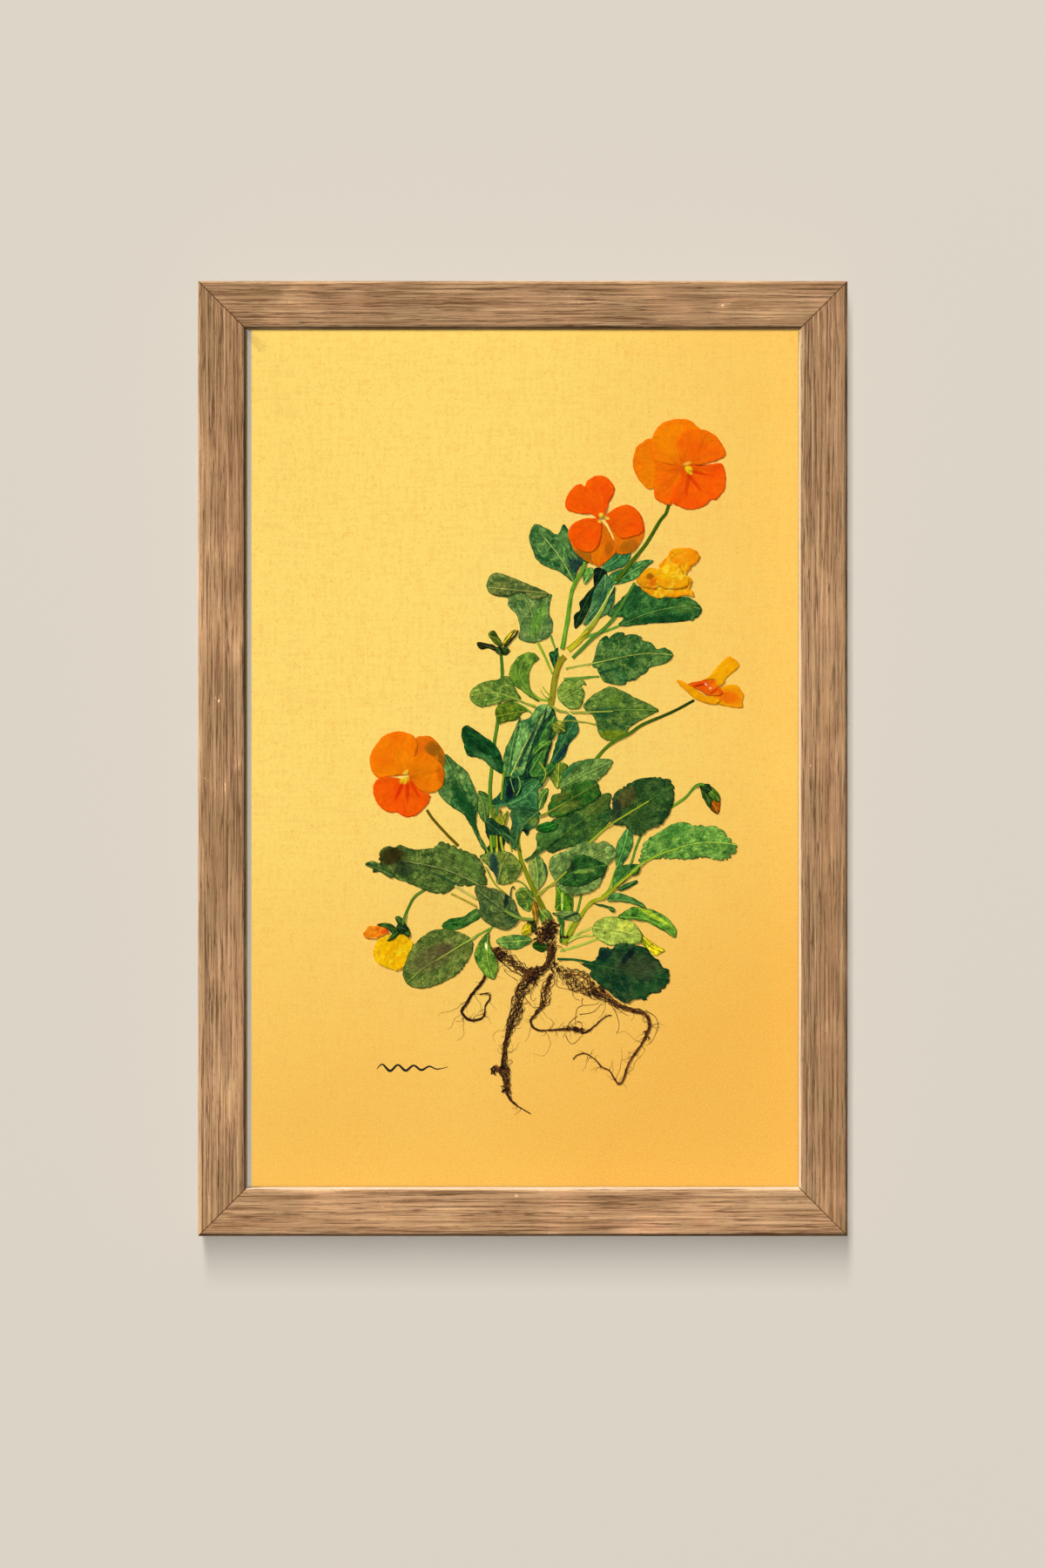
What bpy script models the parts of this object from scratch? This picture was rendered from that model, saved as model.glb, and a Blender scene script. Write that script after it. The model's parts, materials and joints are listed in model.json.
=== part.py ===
"""Pressed flower frame: a mitred oak frame that holds a whole pressed pansy behind glass.

Metres, +Z up. The glass faces -Y and the back faces +Y. The origin is the middle notch
of the sawtooth hanger, where the wall's nail carries the frame.
"""

import math

import bmesh
import bpy
from mathutils import Matrix, Vector

MM = 0.001

# Frame, in millimetres
OUTER_WIDTH = 215.0
OUTER_HEIGHT = 316.0
RAIL_WIDTH = 16.0
RAIL_DEPTH = 20.0
LIP_DEPTH = 5.4
LIP_WIDTH = 8.5
EDGE_ROUND = 1.4
EDGE_STEPS = 4
FIT_GAP = 0.3
MITRE_SPARE = 1.0

# What lies in the rebate, from the front
PANE_WIDTH = 198.6
PANE_HEIGHT = 299.2
GLASS_THICK = 2.0
PLANT_ROOM = 4.2
SHEET_THICK = 0.3
SHEET_LEFT_SHORTFALL = 9.0
UNDERLAY_THICK = 0.5
BOARD_THICK = 2.5

# Metal parts
TAB_LENGTH = 14.0
TAB_WIDTH = 6.0
TAB_THICK = 0.6
TAB_IN_WOOD = 5.0
HANGER_LENGTH = 44.0
HANGER_HEIGHT = 9.0
HANGER_THICK = 0.8
HANGER_END_STEPS = 6
TOOTH_COUNT = 13
TOOTH_DEPTH = 1.6
HANGER_FROM_TOP = 9.0
NAIL_SPREAD = 18.0
NAIL_RADIUS = 0.7
NAIL_LENGTH = 8.0
NAIL_POINT = 1.5
NAIL_HEAD_RADIUS = 1.7
NAIL_HEAD_RIM = 0.2
NAIL_HEAD_THICK = 0.7
NAIL_SHOULDER_DEGREES = 50.0
ROUND_SIDES = 16

# Pressed plant: flat pieces lie on levels above the sheet, and stems run between them
LEAF_THICK = 0.16
LEVEL_PITCH = 0.32
FRONT_LEVELS_FROM = 2.75
STEM_FLATNESS = 0.45
STEM_BEDS = (1.55, 2.3)
ROOT_BED = 0.85
ROOT_FLATNESS = 0.22

FRAME_MIDDLE = HANGER_FROM_TOP - OUTER_HEIGHT / 2
GLASS_FRONT = -RAIL_DEPTH + LIP_DEPTH + FIT_GAP
SHEET_FRONT = GLASS_FRONT + GLASS_THICK + PLANT_ROOM

# Outlines are (across, up) from the middle of the frame, in millimetres. "back" leaves lie
# under the stems and "front" leaves over them; the number is the level in that stack.
LEAVES = {
    "leaf_notched": ("back", 0, [
        (17, 58.5), (12.5, 62), (5.5, 65), (3, 70), (2, 74), (4, 78), (8, 76.5), (11.5, 74.5),
        (13.5, 78), (15.5, 75), (16, 69.5), (20, 65.5), (18, 62.5)]),
    "leaf_folded_top": ("back", 1, [
        (-1.5, 40), (3.5, 38.5), (9, 41), (10, 45.5), (8.5, 48.5), (9.5, 54), (8.5, 55),
        (-0.5, 59), (-9, 62), (-12, 59), (-11.5, 55.5), (-8.5, 54), (-5, 53.5), (-5, 51),
        (-2, 47.5), (-1, 42.5)]),
    "leaf_long_right": ("back", 0, [
        (32, 44), (43, 45), (56.5, 46), (59.5, 50), (56.5, 53), (52.5, 54), (45, 53.5),
        (41.5, 55), (37.5, 57.5), (32.5, 53), (28, 47.5), (33.5, 47)]),
    "leaf_toothed": ("back", 1, [
        (23, 31), (24, 35), (25.5, 39.5), (28, 41), (28.5, 40), (31, 42), (33.5, 42), (34, 41),
        (36.5, 41.5), (39.5, 40.5), (39.5, 39.5), (43, 38.5), (44.5, 36.5), (47.5, 37),
        (50, 34.5), (47, 31.5), (42.5, 30.5), (41, 28.5), (39, 27.5), (37, 26), (34.5, 25.5),
        (33.5, 24.5), (29, 25), (26.5, 26), (24.5, 30)]),
    "leaf_spoon_upper": ("back", 0, [
        (5.5, 19.5), (3, 22), (2, 26.5), (3, 31), (5.5, 33.5), (2, 35.5), (-2, 33.5),
        (-4.5, 29.5), (-4, 25.5), (-1, 23), (4, 19.5)]),
    "leaf_spoon_left": ("front", 1, [
        (-1, 19.5), (-2, 22.5), (-5, 27.5), (-8, 26.5), (-13.5, 25.5), (-17, 23),
        (-17.5, 19.5), (-13.5, 17), (-7, 19)]),
    "leaf_folded_right": ("back", 1, [
        (20, 17), (22.5, 20.5), (26.5, 23), (30, 24), (37, 20.5), (45, 16.5), (42.5, 14.5),
        (35.5, 10.5), (34.5, 7.5), (30.5, 6), (27, 6.5), (25, 9), (23.5, 14)]),
    "leaf_upright": ("front", 0, [
        (-4.5, -6), (-3, 2), (-1.5, 9), (-1, 12.5), (2, 13.5), (5, 17.5), (8.5, 18),
        (9.5, 15.5), (6, 11), (4, 7), (2, 1), (0, -5.5)]),
    "leaf_pale_centre": ("front", 0, [
        (12, -10), (12.5, -7), (14, -3.5), (17.5, -1), (21.5, 0), (24.5, 0), (28.5, 0),
        (30, -1), (28.5, -4), (25.5, -7), (20.5, -9.5), (16, -10.5)]),
    "leaf_dark_left": ("front", 0, [
        (-20, 10.5), (-18, 11), (-13, 7.5), (-9.5, 5), (-7, 0.5), (-6.5, -5), (-10.5, -3),
        (-14, 0), (-18.5, 1), (-19.5, 4), (-20.5, 7.5)]),
    "leaf_long_left": ("back", 0, [
        (-26.5, 1.5), (-22.5, -1), (-18.5, -4.5), (-16, -10), (-15, -15.5), (-15.5, -22),
        (-12, -31), (-14, -29), (-19, -19.5), (-24.5, -15.5), (-28, -11.5), (-28, -7)]),
    "leaf_large_left": ("front", 0, [
        (-12.5, -42.5), (-12, -38), (-14.5, -33), (-19, -30.5), (-23.5, -28.5), (-27, -27.5),
        (-29.5, -28.5), (-30, -29.5), (-33.5, -30), (-37, -30), (-41, -28.5), (-42.5, -29.5),
        (-45.5, -29), (-48, -31.5), (-47.5, -35), (-44, -39), (-36.5, -42), (-31, -44.5),
        (-25.5, -45), (-21, -42.5)]),
    "leaf_dark_low": ("front", 1, [
        (-1, -53), (-1.5, -51), (-3.5, -46.5), (-8.5, -43.5), (-16, -42.5), (-14.5, -48.5),
        (-14.5, -52.5), (-8.5, -56.5), (-4, -56.5)]),
    "leaf_oval": ("back", 1, [
        (-17, -60), (-20, -58), (-26, -56.5), (-31, -57.5), (-36.5, -62), (-39, -67),
        (-40, -72), (-38, -75.5), (-33.5, -76.5), (-28, -75), (-22, -72), (-18, -67),
        (-16.5, -63)]),
    "leaf_central_upper": ("front", 1, [
        (8.5, -19), (8.5, -14), (11, -11.5), (16, -8.5), (20.5, -7.5), (24, -7), (25.5, -10),
        (25.5, -13), (19, -17), (12.5, -19.5)]),
    "leaf_central_lower": ("front", 0, [
        (1.5, -33.5), (4.5, -29.5), (4.5, -25), (9.5, -20.5), (16.5, -17), (26, -12),
        (29.5, -11.5), (29, -15.5), (30, -19), (28, -22), (24, -26.5), (19, -28.5),
        (13.5, -30), (9.5, -31.5), (6.5, -30)]),
    "leaf_brown_right": ("front", 1, [
        (29, -21.5), (29.5, -15.5), (30, -12), (34.5, -8.5), (39.5, -6.5), (44.5, -6),
        (49, -7), (50.5, -10), (50, -15), (48, -19.5), (45.5, -22.5), (42, -23.5),
        (39.5, -25.5), (36.5, -25), (33.5, -22.5)]),
    "leaf_light_right": ("back", 1, [
        (38.5, -35.5), (39, -31.5), (40.5, -27.5), (45, -24.5), (51.5, -21), (58, -22),
        (64.5, -22.5), (67.5, -25), (71.5, -29.5), (70, -32), (67, -34), (60.5, -33),
        (55.5, -33.5), (49, -33.5), (43, -33.5)]),
    "leaf_pale_low": ("back", 1, [
        (23, -56), (24.5, -54), (28, -52.5), (32.5, -52.5), (37, -54.5), (39.5, -58.5),
        (39, -61), (34, -62), (29, -62), (25.5, -60.5), (23.5, -58.5)]),
    "leaf_large_low": ("front", 0, [
        (18.5, -68), (23, -67.5), (25, -65), (25.5, -63), (28, -62), (29.5, -62.5),
        (32.5, -61), (36.5, -61.5), (41.5, -63), (42.5, -65), (45.5, -67), (46, -68.5),
        (48.5, -70), (48.5, -74.5), (46, -77.5), (42, -78.5), (41, -80.5), (37, -80),
        (34, -81.5), (29, -78), (22.5, -72.5), (22.5, -70)]),
    "leaf_grey_fold": ("front", 2, [
        (9.5, -32.5), (14, -30.5), (20, -27.5), (24.5, -28), (28, -27.5), (31.5, -31.5),
        (28.5, -35), (27, -39.5), (24, -43.5), (18, -45.5), (13.5, -44.5), (11, -41.5),
        (8.5, -36.5)]),
}

# Each flower is one flat solid out to the tips of its petals
FLOWERS = {
    "flower_top_right": ("front", 0, [
        (48, 84.5), (44, 86.5), (43.5, 89.5), (38.5, 92), (36.5, 98.5), (38.5, 104),
        (43, 106.5), (46.5, 111.5), (52.5, 113), (58.5, 110), (64, 107.5), (67.5, 101),
        (66, 98), (67.5, 93.5), (64, 86), (58.5, 83), (52.5, 83.5)]),
    "flower_top_middle": ("front", 0, [
        (25.5, 64), (18.5, 67.5), (15.5, 72), (15.5, 76), (19, 79.5), (22, 81), (15, 82.5),
        (14, 86.5), (19, 91.5), (21.5, 92.5), (26, 94), (30.5, 91), (29, 83.5), (34, 84.5),
        (38.5, 81.5), (40.5, 76), (38, 70), (34, 68), (29.5, 67.5)]),
    "flower_left": ("front", 0, [
        (-32.5, -16), (-38, -19.5), (-45.5, -17.5), (-49.5, -12), (-48.5, -6.5), (-51, -2.5),
        (-50, 3), (-45.5, 8), (-39.5, 9), (-35, 6.5), (-31, 7.5), (-27, 3.5), (-26, -2.5),
        (-27, -9.5), (-31, -12)]),
    "flower_crumpled": ("front", 0, [
        (37.5, 59), (41, 63), (45, 63.5), (46, 65.5), (49.5, 69), (55, 70), (59, 67),
        (55, 62), (56, 59), (56.5, 55), (50.5, 53.5), (44, 53.5), (39.5, 56.5)]),
    "flower_side_on": ("front", 0, [
        (51, 26), (54.5, 25), (59.5, 26), (65, 31), (68.5, 34), (72, 31.5), (68, 25.5),
        (71.5, 24), (73.5, 21), (73, 17), (68, 17), (63.5, 18), (57, 20), (53, 23)]),
    "flower_withered": ("back", 0, [
        (-53, -58), (-51, -55.5), (-48, -55), (-44.5, -56), (-42, -52.5), (-38, -54.5),
        (-37, -58.5), (-37, -62), (-39.5, -66), (-40, -70), (-44, -70), (-48, -67.5),
        (-50, -63), (-49.5, -60), (-52.5, -59.5)]),
}

CAPSULE_OUTLINE = [
    (-15, 38.5), (-14, 37), (-8.5, 36.5), (-9, 35.2), (-7, 34.6), (-4.5, 35), (-4.5, 37),
    (-2, 41), (-2.5, 43), (-5, 41.5), (-7, 38), (-9, 42.5), (-11, 42.5), (-9.5, 37.5)]
CAPSULE_THICK = 0.9
CAPSULE_BED = 1.75
BUD_MIDDLE = (62.6, -13.6)
BUD_LENGTH = 9.4
BUD_WIDTH = 4.6
BUD_THICK = 1.3
BUD_LEAN_DEGREES = 18.0
BUD_SIDES = 14
BUD_RINGS = 8

# Stems: bed, widths at the two ends, and the route
STEMS = {
    "stem_lower": (0, 2.0, 1.6, [
        (9, -59.5), (7, -50.5), (4, -44.5), (1.5, -39), (-0.5, -34), (-1.5, -27.5),
        (-0.5, -22), (0, -17)]),
    "stem_upper": (0, 1.6, 2.0, [
        (0, -15), (1.5, -5.5), (5, 6), (9, 17), (10.5, 26), (12, 31.5), (14, 34)]),
    "stem_top_shoot": (0, 1.8, 1.0, [(15, 36), (19, 39.5), (23, 44.5), (27, 51), (29, 56.5)]),
    "stem_side_shoot": (0, 2.2, 1.4, [
        (13.5, -61.5), (17.5, -55), (22.5, -48), (27, -46), (32.5, -41), (38, -36.5)]),
    "stalk_top_right": (1, 1.2, 1.4, [
        (48.5, 83.5), (47.5, 81.5), (45.5, 79), (41, 71.5), (36.5, 66), (31, 59)]),
    "stalk_top_middle": (1, 1.2, 1.5, [(20, 63), (16.5, 56.5), (14.5, 44.5), (13, 36.5)]),
    "stalk_left": (0, 1.2, 1.4, [(-32, -17.5), (-30, -20), (-25.5, -25), (-21.5, -29)]),
    "stalk_crumpled": (1, 1.1, 1.3, [(36.5, 57.5), (29.5, 46), (23, 40), (16.5, 33.5)]),
    "stalk_side_on": (0, 1.5, 1.2, [
        (57, 19), (49.5, 15.5), (40, 11.5), (35.5, 8.5), (30.5, 6), (27, 3), (24, -0.5)]),
    "stalk_bud": (0, 1.4, 1.1, [
        (49.5, -16), (54, -13), (57, -9.5), (59, -8.5), (60.2, -8.8)]),
    "stalk_withered": (0, 1.0, 1.1, [(-39.5, -53), (-38, -49.5), (-36, -46), (-32.5, -43.5)]),
    "stalk_capsule": (0, 1.1, 1.5, [
        (-7.5, 33.5), (-7, 26.5), (-8.5, 12), (-9.5, 5.5), (-10.5, -4), (-11, -12),
        (-10, -20), (-9.5, -29.5)]),
}

# Root bundles: each point is (across, up, width)
ROOTS = {
    "root_main": [
        (9.5, -61.5, 6.5), (9.5, -66, 5.5), (7.5, -69.5, 4), (3.5, -71.5, 3.5),
        (-1, -77.5, 4.9), (-2.5, -85.5, 4.4), (-5, -92.5, 2.4), (-6, -97.5, 2),
        (-6, -104.5, 3.2), (-5, -112, 1.6), (-3, -114.5, 1), (2.5, -118, 0.7)],
    "root_left": [
        (-0.5, -69.5, 3.2), (-4, -67, 4.4), (-8.5, -65, 2.4), (-11.5, -69, 1.8),
        (-13, -73.5, 1.7), (-16.5, -77.5, 1.7), (-19, -81.5, 1.6), (-20.5, -84, 1.4),
        (-18.5, -86.5, 1.4), (-15.5, -87, 1.3), (-13, -85.5, 1.2), (-12.5, -82, 1.1),
        (-11, -80, 1.0), (-11.5, -78, 0.8)],
    "root_middle": [
        (10.5, -72, 2.2), (8, -77.5, 2.6), (7.5, -82.5, 2), (3.5, -85.5, 1.8),
        (2, -88, 1.6), (4.5, -90.5, 1.6), (11.5, -90, 1.6), (20, -90.5, 1.6),
        (23.5, -89, 1.4), (26, -87, 1)],
    "root_right": [
        (13.5, -70.5, 2.4), (17, -73.5, 3.6), (22, -76, 4), (26.5, -78.5, 3.4),
        (30, -81.5, 2.6), (35, -83.5, 2.4), (40, -84.5, 2.4), (42, -87.5, 2),
        (41.5, -91, 1.8), (39, -95.5, 1.6), (36.5, -99, 1.5), (34, -103, 1.6),
        (33.5, -106.5, 1.4), (31.5, -108, 1.2), (28.5, -103.5, 1), (26, -102.5, 0.9),
        (24, -100, 0.8), (21, -98, 0.8), (18, -98.5, 0.7), (16.5, -100, 0.6)],
}

OUTLINE_STEPS = 3
ROUTE_STEPS = 3

# The distance in metres within which loose points are welded
WELD_DISTANCE = 0.000001


def clear_scene():
    """Removes whatever the scene holds."""
    for item in list(bpy.data.objects):
        bpy.data.objects.remove(item)


def make_collection(name):
    """A collection of the scene."""
    made = bpy.data.collections.new(name)
    bpy.context.scene.collection.children.link(made)
    return made


def make_material(name, colour, roughness, metallic=0.0, alpha=1.0):
    """A plain material in the part's colour."""
    made = bpy.data.materials.new(name)
    made.use_nodes = True
    shader = made.node_tree.nodes["Principled BSDF"]
    shader.inputs["Base Color"].default_value = (*colour, 1.0)
    shader.inputs["Roughness"].default_value = roughness
    shader.inputs["Metallic"].default_value = metallic
    shader.inputs["Alpha"].default_value = alpha
    return made


def make_object(name, data, material, collection, parent=None):
    """An object that shows data in one material."""
    made = bpy.data.objects.new(name, data)
    data.materials.append(material)
    collection.objects.link(made)
    made.parent = parent
    return made


def between(before, start, end, after, share):
    """A point on the Catmull-Rom curve from start to end."""
    square = share * share
    cube = square * share
    return tuple(
        0.5 * (2 * b + (c - a) * share + (2 * a - 5 * b + 4 * c - d) * square
               + (3 * b - a - 3 * c + d) * cube)
        for a, b, c, d in zip(before, start, end, after, strict=True))


def smooth_closed(points, steps):
    """Points along the smooth closed curve through the given ones."""
    count = len(points)
    found = []
    for i in range(count):
        around = [points[(i + k) % count] for k in (-1, 0, 1, 2)]
        found += [between(*around, step / steps) for step in range(steps)]
    return found


def smooth_open(points, steps):
    """Points along the smooth open curve through the given ones."""
    padded = [points[0], *points, points[-1]]
    found = []
    for i in range(len(points) - 1):
        found += [between(*padded[i:i + 4], step / steps) for step in range(steps)]
    return [*found, points[-1]]


def flat_piece(name, outline, thick, material, collection, parent):
    """A flat piece with the given outline, standing in the XZ plane."""
    curve = bpy.data.curves.new(name, "CURVE")
    curve.dimensions = "2D"
    curve.fill_mode = "BOTH"
    curve.extrude = thick / 2 * MM
    spline = curve.splines.new("POLY")
    spline.points.add(len(outline) - 1)
    for point, (across, up) in zip(spline.points, outline, strict=True):
        point.co = (across * MM, up * MM, 0, 1)
    spline.use_cyclic_u = True
    made = make_object(name, curve, material, collection, parent)
    made.rotation_euler.x = math.radians(90)
    return made


def flat_tube(name, route, flatness, material, collection, parent):
    """A pressed stem or root: a tube along (across, up, width) points, flattened."""
    curve = bpy.data.curves.new(name, "CURVE")
    curve.dimensions = "3D"
    curve.bevel_depth = 0.5 * MM
    curve.bevel_resolution = 1
    curve.use_fill_caps = True
    spline = curve.splines.new("POLY")
    spline.points.add(len(route) - 1)
    for point, (across, up, width) in zip(spline.points, route, strict=True):
        point.co = (across * MM, 0, up * MM, 1)
        point.radius = width
    made = make_object(name, curve, material, collection, parent)
    made.scale.y = flatness
    return made


def box(name, size, middle, material, collection):
    """A box from its size and its middle, in millimetres."""
    mesh = bpy.data.meshes.new(name)
    form = bmesh.new()
    bmesh.ops.create_cube(form, size=1.0, matrix=Matrix.Diagonal((*(Vector(size) * MM), 1)))
    form.to_mesh(mesh)
    form.free()
    made = make_object(name, mesh, material, collection)
    made.location = Vector(middle) * MM
    return made


def as_mesh(curve_object):
    """The curve object's mesh with its loose caps welded; the curve is removed."""
    depsgraph = bpy.context.evaluated_depsgraph_get()
    mesh = bpy.data.meshes.new_from_object(curve_object.evaluated_get(depsgraph))
    form = bmesh.new()
    form.from_mesh(mesh)
    bmesh.ops.remove_doubles(form, verts=form.verts, dist=WELD_DISTANCE)
    form.to_mesh(mesh)
    form.free()
    bpy.data.objects.remove(curve_object)
    return mesh


def rail_profile():
    """The rail's section, as (from its outer edge, from its front): two rounded front edges
    and the rebate behind the lip."""
    outer, inner = [], []
    for step in range(EDGE_STEPS + 1):
        turn = math.radians(90) * step / EDGE_STEPS
        across = EDGE_ROUND * (1 - math.sin(turn))
        deep = EDGE_ROUND * (1 - math.cos(turn))
        outer.append((across, deep))
        inner.append((RAIL_WIDTH - across, deep))
    outer.reverse()
    rebate = RAIL_WIDTH - LIP_WIDTH
    back = [(RAIL_WIDTH, LIP_DEPTH), (rebate, LIP_DEPTH), (rebate, RAIL_DEPTH), (0, RAIL_DEPTH)]
    return [*outer, *inner, *back]


def make_rail(name, length, angle, reach, material, collection):
    """A mitred rail whose outer edge is reach from the frame's middle, turned by angle."""
    profile = [(across, RAIL_DEPTH - deep) for across, deep in rail_profile()]
    blank = flat_piece(name + "_blank", profile, length + MITRE_SPARE, material, collection,
                       None)
    bpy.context.view_layer.update()
    mesh = as_mesh(blank)
    # The blank's axes become: along the rail = X, from front to back = Y, inwards = -Z
    stand = Matrix(((0, 0, 1, 0), (0, -1, 0, 0), (-1, 0, 0, 0), (0, 0, 0, 1)))
    mesh.transform(stand)
    form = bmesh.new()
    form.from_mesh(mesh)
    for side in (-1, 1):
        corner = Vector((side * length / 2, 0, 0)) * MM
        outwards = Vector((side, 0, -1)).normalized()
        cut = bmesh.ops.bisect_plane(
            form, geom=[*form.verts, *form.edges, *form.faces],
            plane_co=corner - outwards * FIT_GAP / 2 * MM, plane_no=outwards, clear_outer=True)
        rim = [item for item in cut["geom_cut"] if isinstance(item, bmesh.types.BMEdge)]
        bmesh.ops.contextual_create(form, geom=rim)
    bmesh.ops.recalc_face_normals(form, faces=form.faces)
    form.to_mesh(mesh)
    form.free()
    made = bpy.data.objects.new(name, mesh)
    collection.objects.link(made)
    turn = Matrix.Rotation(angle, 4, "Y")
    place = Vector((0, 0, FRAME_MIDDLE * MM)) + turn @ Vector((0, 0, reach * MM))
    made.matrix_world = Matrix.Translation(place) @ turn
    return made


def cut_with(target, cutter):
    """Cuts a guide object's shape out of the target."""
    cutter.hide_render = True
    cutter.display_type = "WIRE"
    cut = target.modifiers.new("cut_" + cutter.name, "BOOLEAN")
    cut.operation = "DIFFERENCE"
    cut.solver = "EXACT"
    cut.object = cutter


def make_rails(material, collection):
    """The four rails, by name."""
    wide, tall = OUTER_WIDTH, OUTER_HEIGHT
    places = {
        "rail_top": (wide, 0, tall / 2),
        "rail_right": (tall, 90, wide / 2),
        "rail_bottom": (wide, 180, tall / 2),
        "rail_left": (tall, 270, wide / 2),
    }
    return {
        name: make_rail(name, length, math.radians(turn), reach, material, collection)
        for name, (length, turn, reach) in places.items()
    }


def make_stack(materials, collection):
    """The glass, the sheet, its underlay and the backing board, from front to back."""
    front = GLASS_FRONT
    middle = front + GLASS_THICK / 2
    box("glass", (PANE_WIDTH, GLASS_THICK, PANE_HEIGHT), (0, middle, FRAME_MIDDLE),
        materials["glass"], collection)
    sheet_width = PANE_WIDTH - SHEET_LEFT_SHORTFALL
    box("mount_sheet", (sheet_width, SHEET_THICK, PANE_HEIGHT),
        (SHEET_LEFT_SHORTFALL / 2, SHEET_FRONT + SHEET_THICK / 2, FRAME_MIDDLE),
        materials["sheet"], collection)
    front = SHEET_FRONT + SHEET_THICK + FIT_GAP
    box("underlay", (PANE_WIDTH, UNDERLAY_THICK, PANE_HEIGHT),
        (0, front + UNDERLAY_THICK / 2, FRAME_MIDDLE), materials["underlay"], collection)
    front += UNDERLAY_THICK + FIT_GAP
    box("backing_board", (PANE_WIDTH, BOARD_THICK, PANE_HEIGHT),
        (0, front + BOARD_THICK / 2, FRAME_MIDDLE), materials["board"], collection)
    return front + BOARD_THICK


def make_tabs(rails, board_back, material, collection, cutters):
    """The flat steel tabs that are driven into the rebate behind the board."""
    inner_wall_x = OUTER_WIDTH / 2 - RAIL_WIDTH + LIP_WIDTH
    inner_wall_z = OUTER_HEIGHT / 2 - RAIL_WIDTH + LIP_WIDTH
    deep = board_back + FIT_GAP + TAB_THICK / 2
    places = {
        "tab_left": ("rail_left", (-inner_wall_x, 0), True),
        "tab_right": ("rail_right", (inner_wall_x, 0), True),
        "tab_top": ("rail_top", (0, inner_wall_z), False),
        "tab_bottom": ("rail_bottom", (0, -inner_wall_z), False),
    }
    for name, (rail, (across, up), level) in places.items():
        inwards = TAB_LENGTH / 2 - TAB_IN_WOOD
        across -= math.copysign(inwards, across) if level else 0
        up -= 0 if level else math.copysign(inwards, up)
        size = (TAB_LENGTH, TAB_THICK, TAB_WIDTH) if level else (TAB_WIDTH, TAB_THICK, TAB_LENGTH)
        middle = (across, deep, FRAME_MIDDLE + up)
        box(name, size, middle, material, collection)
        slot_size = [side + 2 * FIT_GAP for side in size]
        cut_with(rails[rail], box(name + "_slot", slot_size, middle, material, cutters))


def hanger_outline():
    """The sawtooth hanger seen from behind, about its middle notch."""
    pitch = (HANGER_LENGTH - 2 * HANGER_HEIGHT) / TOOTH_COUNT
    first = -TOOTH_COUNT * pitch / 2
    outline = []
    for tooth in range(TOOTH_COUNT):
        start = first + tooth * pitch
        outline += [(start, -TOOTH_DEPTH), (start + pitch / 2, 0)]
    outline.append((-first, -TOOTH_DEPTH))
    half = HANGER_LENGTH / 2
    round_end = HANGER_HEIGHT / 2
    middle = HANGER_HEIGHT / 2 - TOOTH_DEPTH
    for side in (1, -1):
        for step in range(HANGER_END_STEPS + 1):
            turn = side * math.radians(180 * step / HANGER_END_STEPS - 90)
            outline.append((side * (half - round_end + round_end * math.cos(turn)),
                            middle + round_end * math.sin(turn)))
    return outline


def make_hanger(rail, materials, collection, cutters):
    """The sawtooth hanger and its two nails on the back of the top rail."""
    plate = flat_piece("hanger_blank", hanger_outline(), HANGER_THICK, materials["steel"],
                       collection, None)
    bpy.context.view_layer.update()
    hanger = bpy.data.objects.new("hanger", as_mesh(plate))
    collection.objects.link(hanger)
    hanger.rotation_euler.x = math.radians(90)
    hanger.location.y = (FIT_GAP + HANGER_THICK / 2) * MM
    up = HANGER_HEIGHT / 2 - TOOTH_DEPTH
    for name, side in (("nail_left", -1), ("nail_right", 1)):
        spot = Vector((side * NAIL_SPREAD, 0, up)) * MM
        make_nail(name, spot, materials["steel"], collection)
        hole = bore(name + "_hole", spot, materials["steel"], cutters)
        cut_with(hanger, hole)
        cut_with(rail, hole)


def bore(name, spot, material, collection):
    """The guide that a nail's clearance hole is cut with."""
    mesh = bpy.data.meshes.new(name)
    form = bmesh.new()
    radius = (NAIL_RADIUS + FIT_GAP) * MM
    bmesh.ops.create_cone(form, cap_ends=True, segments=ROUND_SIDES, radius1=radius,
                          radius2=radius, depth=2 * (NAIL_LENGTH + FIT_GAP) * MM)
    form.to_mesh(mesh)
    form.free()
    made = make_object(name, mesh, material, collection)
    made.rotation_euler.x = math.radians(90)
    made.location = spot
    return made


def make_nail(name, spot, material, collection):
    """A round-headed nail, turned about its own axis."""
    seat = FIT_GAP + HANGER_THICK + FIT_GAP
    turn = math.radians(NAIL_SHOULDER_DEGREES)
    shoulder = NAIL_HEAD_RADIUS * math.cos(turn)
    domed = NAIL_HEAD_RIM + (NAIL_HEAD_THICK - NAIL_HEAD_RIM) * math.sin(turn)
    profile = [
        (0, seat + NAIL_HEAD_THICK), (shoulder, seat + domed),
        (NAIL_HEAD_RADIUS, seat + NAIL_HEAD_RIM), (NAIL_HEAD_RADIUS, seat),
        (NAIL_RADIUS, seat), (NAIL_RADIUS, NAIL_POINT - NAIL_LENGTH), (0, -NAIL_LENGTH)]
    mesh = bpy.data.meshes.new(name)
    mesh.from_pydata([(out * MM, 0, up * MM) for out, up in profile],
                     [(i, i + 1) for i in range(len(profile) - 1)], [])
    made = make_object(name, mesh, material, collection)
    turned = made.modifiers.new("turned", "SCREW")
    turned.steps = ROUND_SIDES
    turned.render_steps = ROUND_SIDES
    turned.use_merge_vertices = True
    turned.merge_threshold = WELD_DISTANCE
    made.rotation_euler.x = math.radians(-90)
    made.location = spot
    return made


def level_height(stack, level):
    """How far a leaf's back lies above the sheet."""
    start = FRONT_LEVELS_FROM if stack == "front" else FIT_GAP
    return start + level * LEVEL_PITCH


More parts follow.
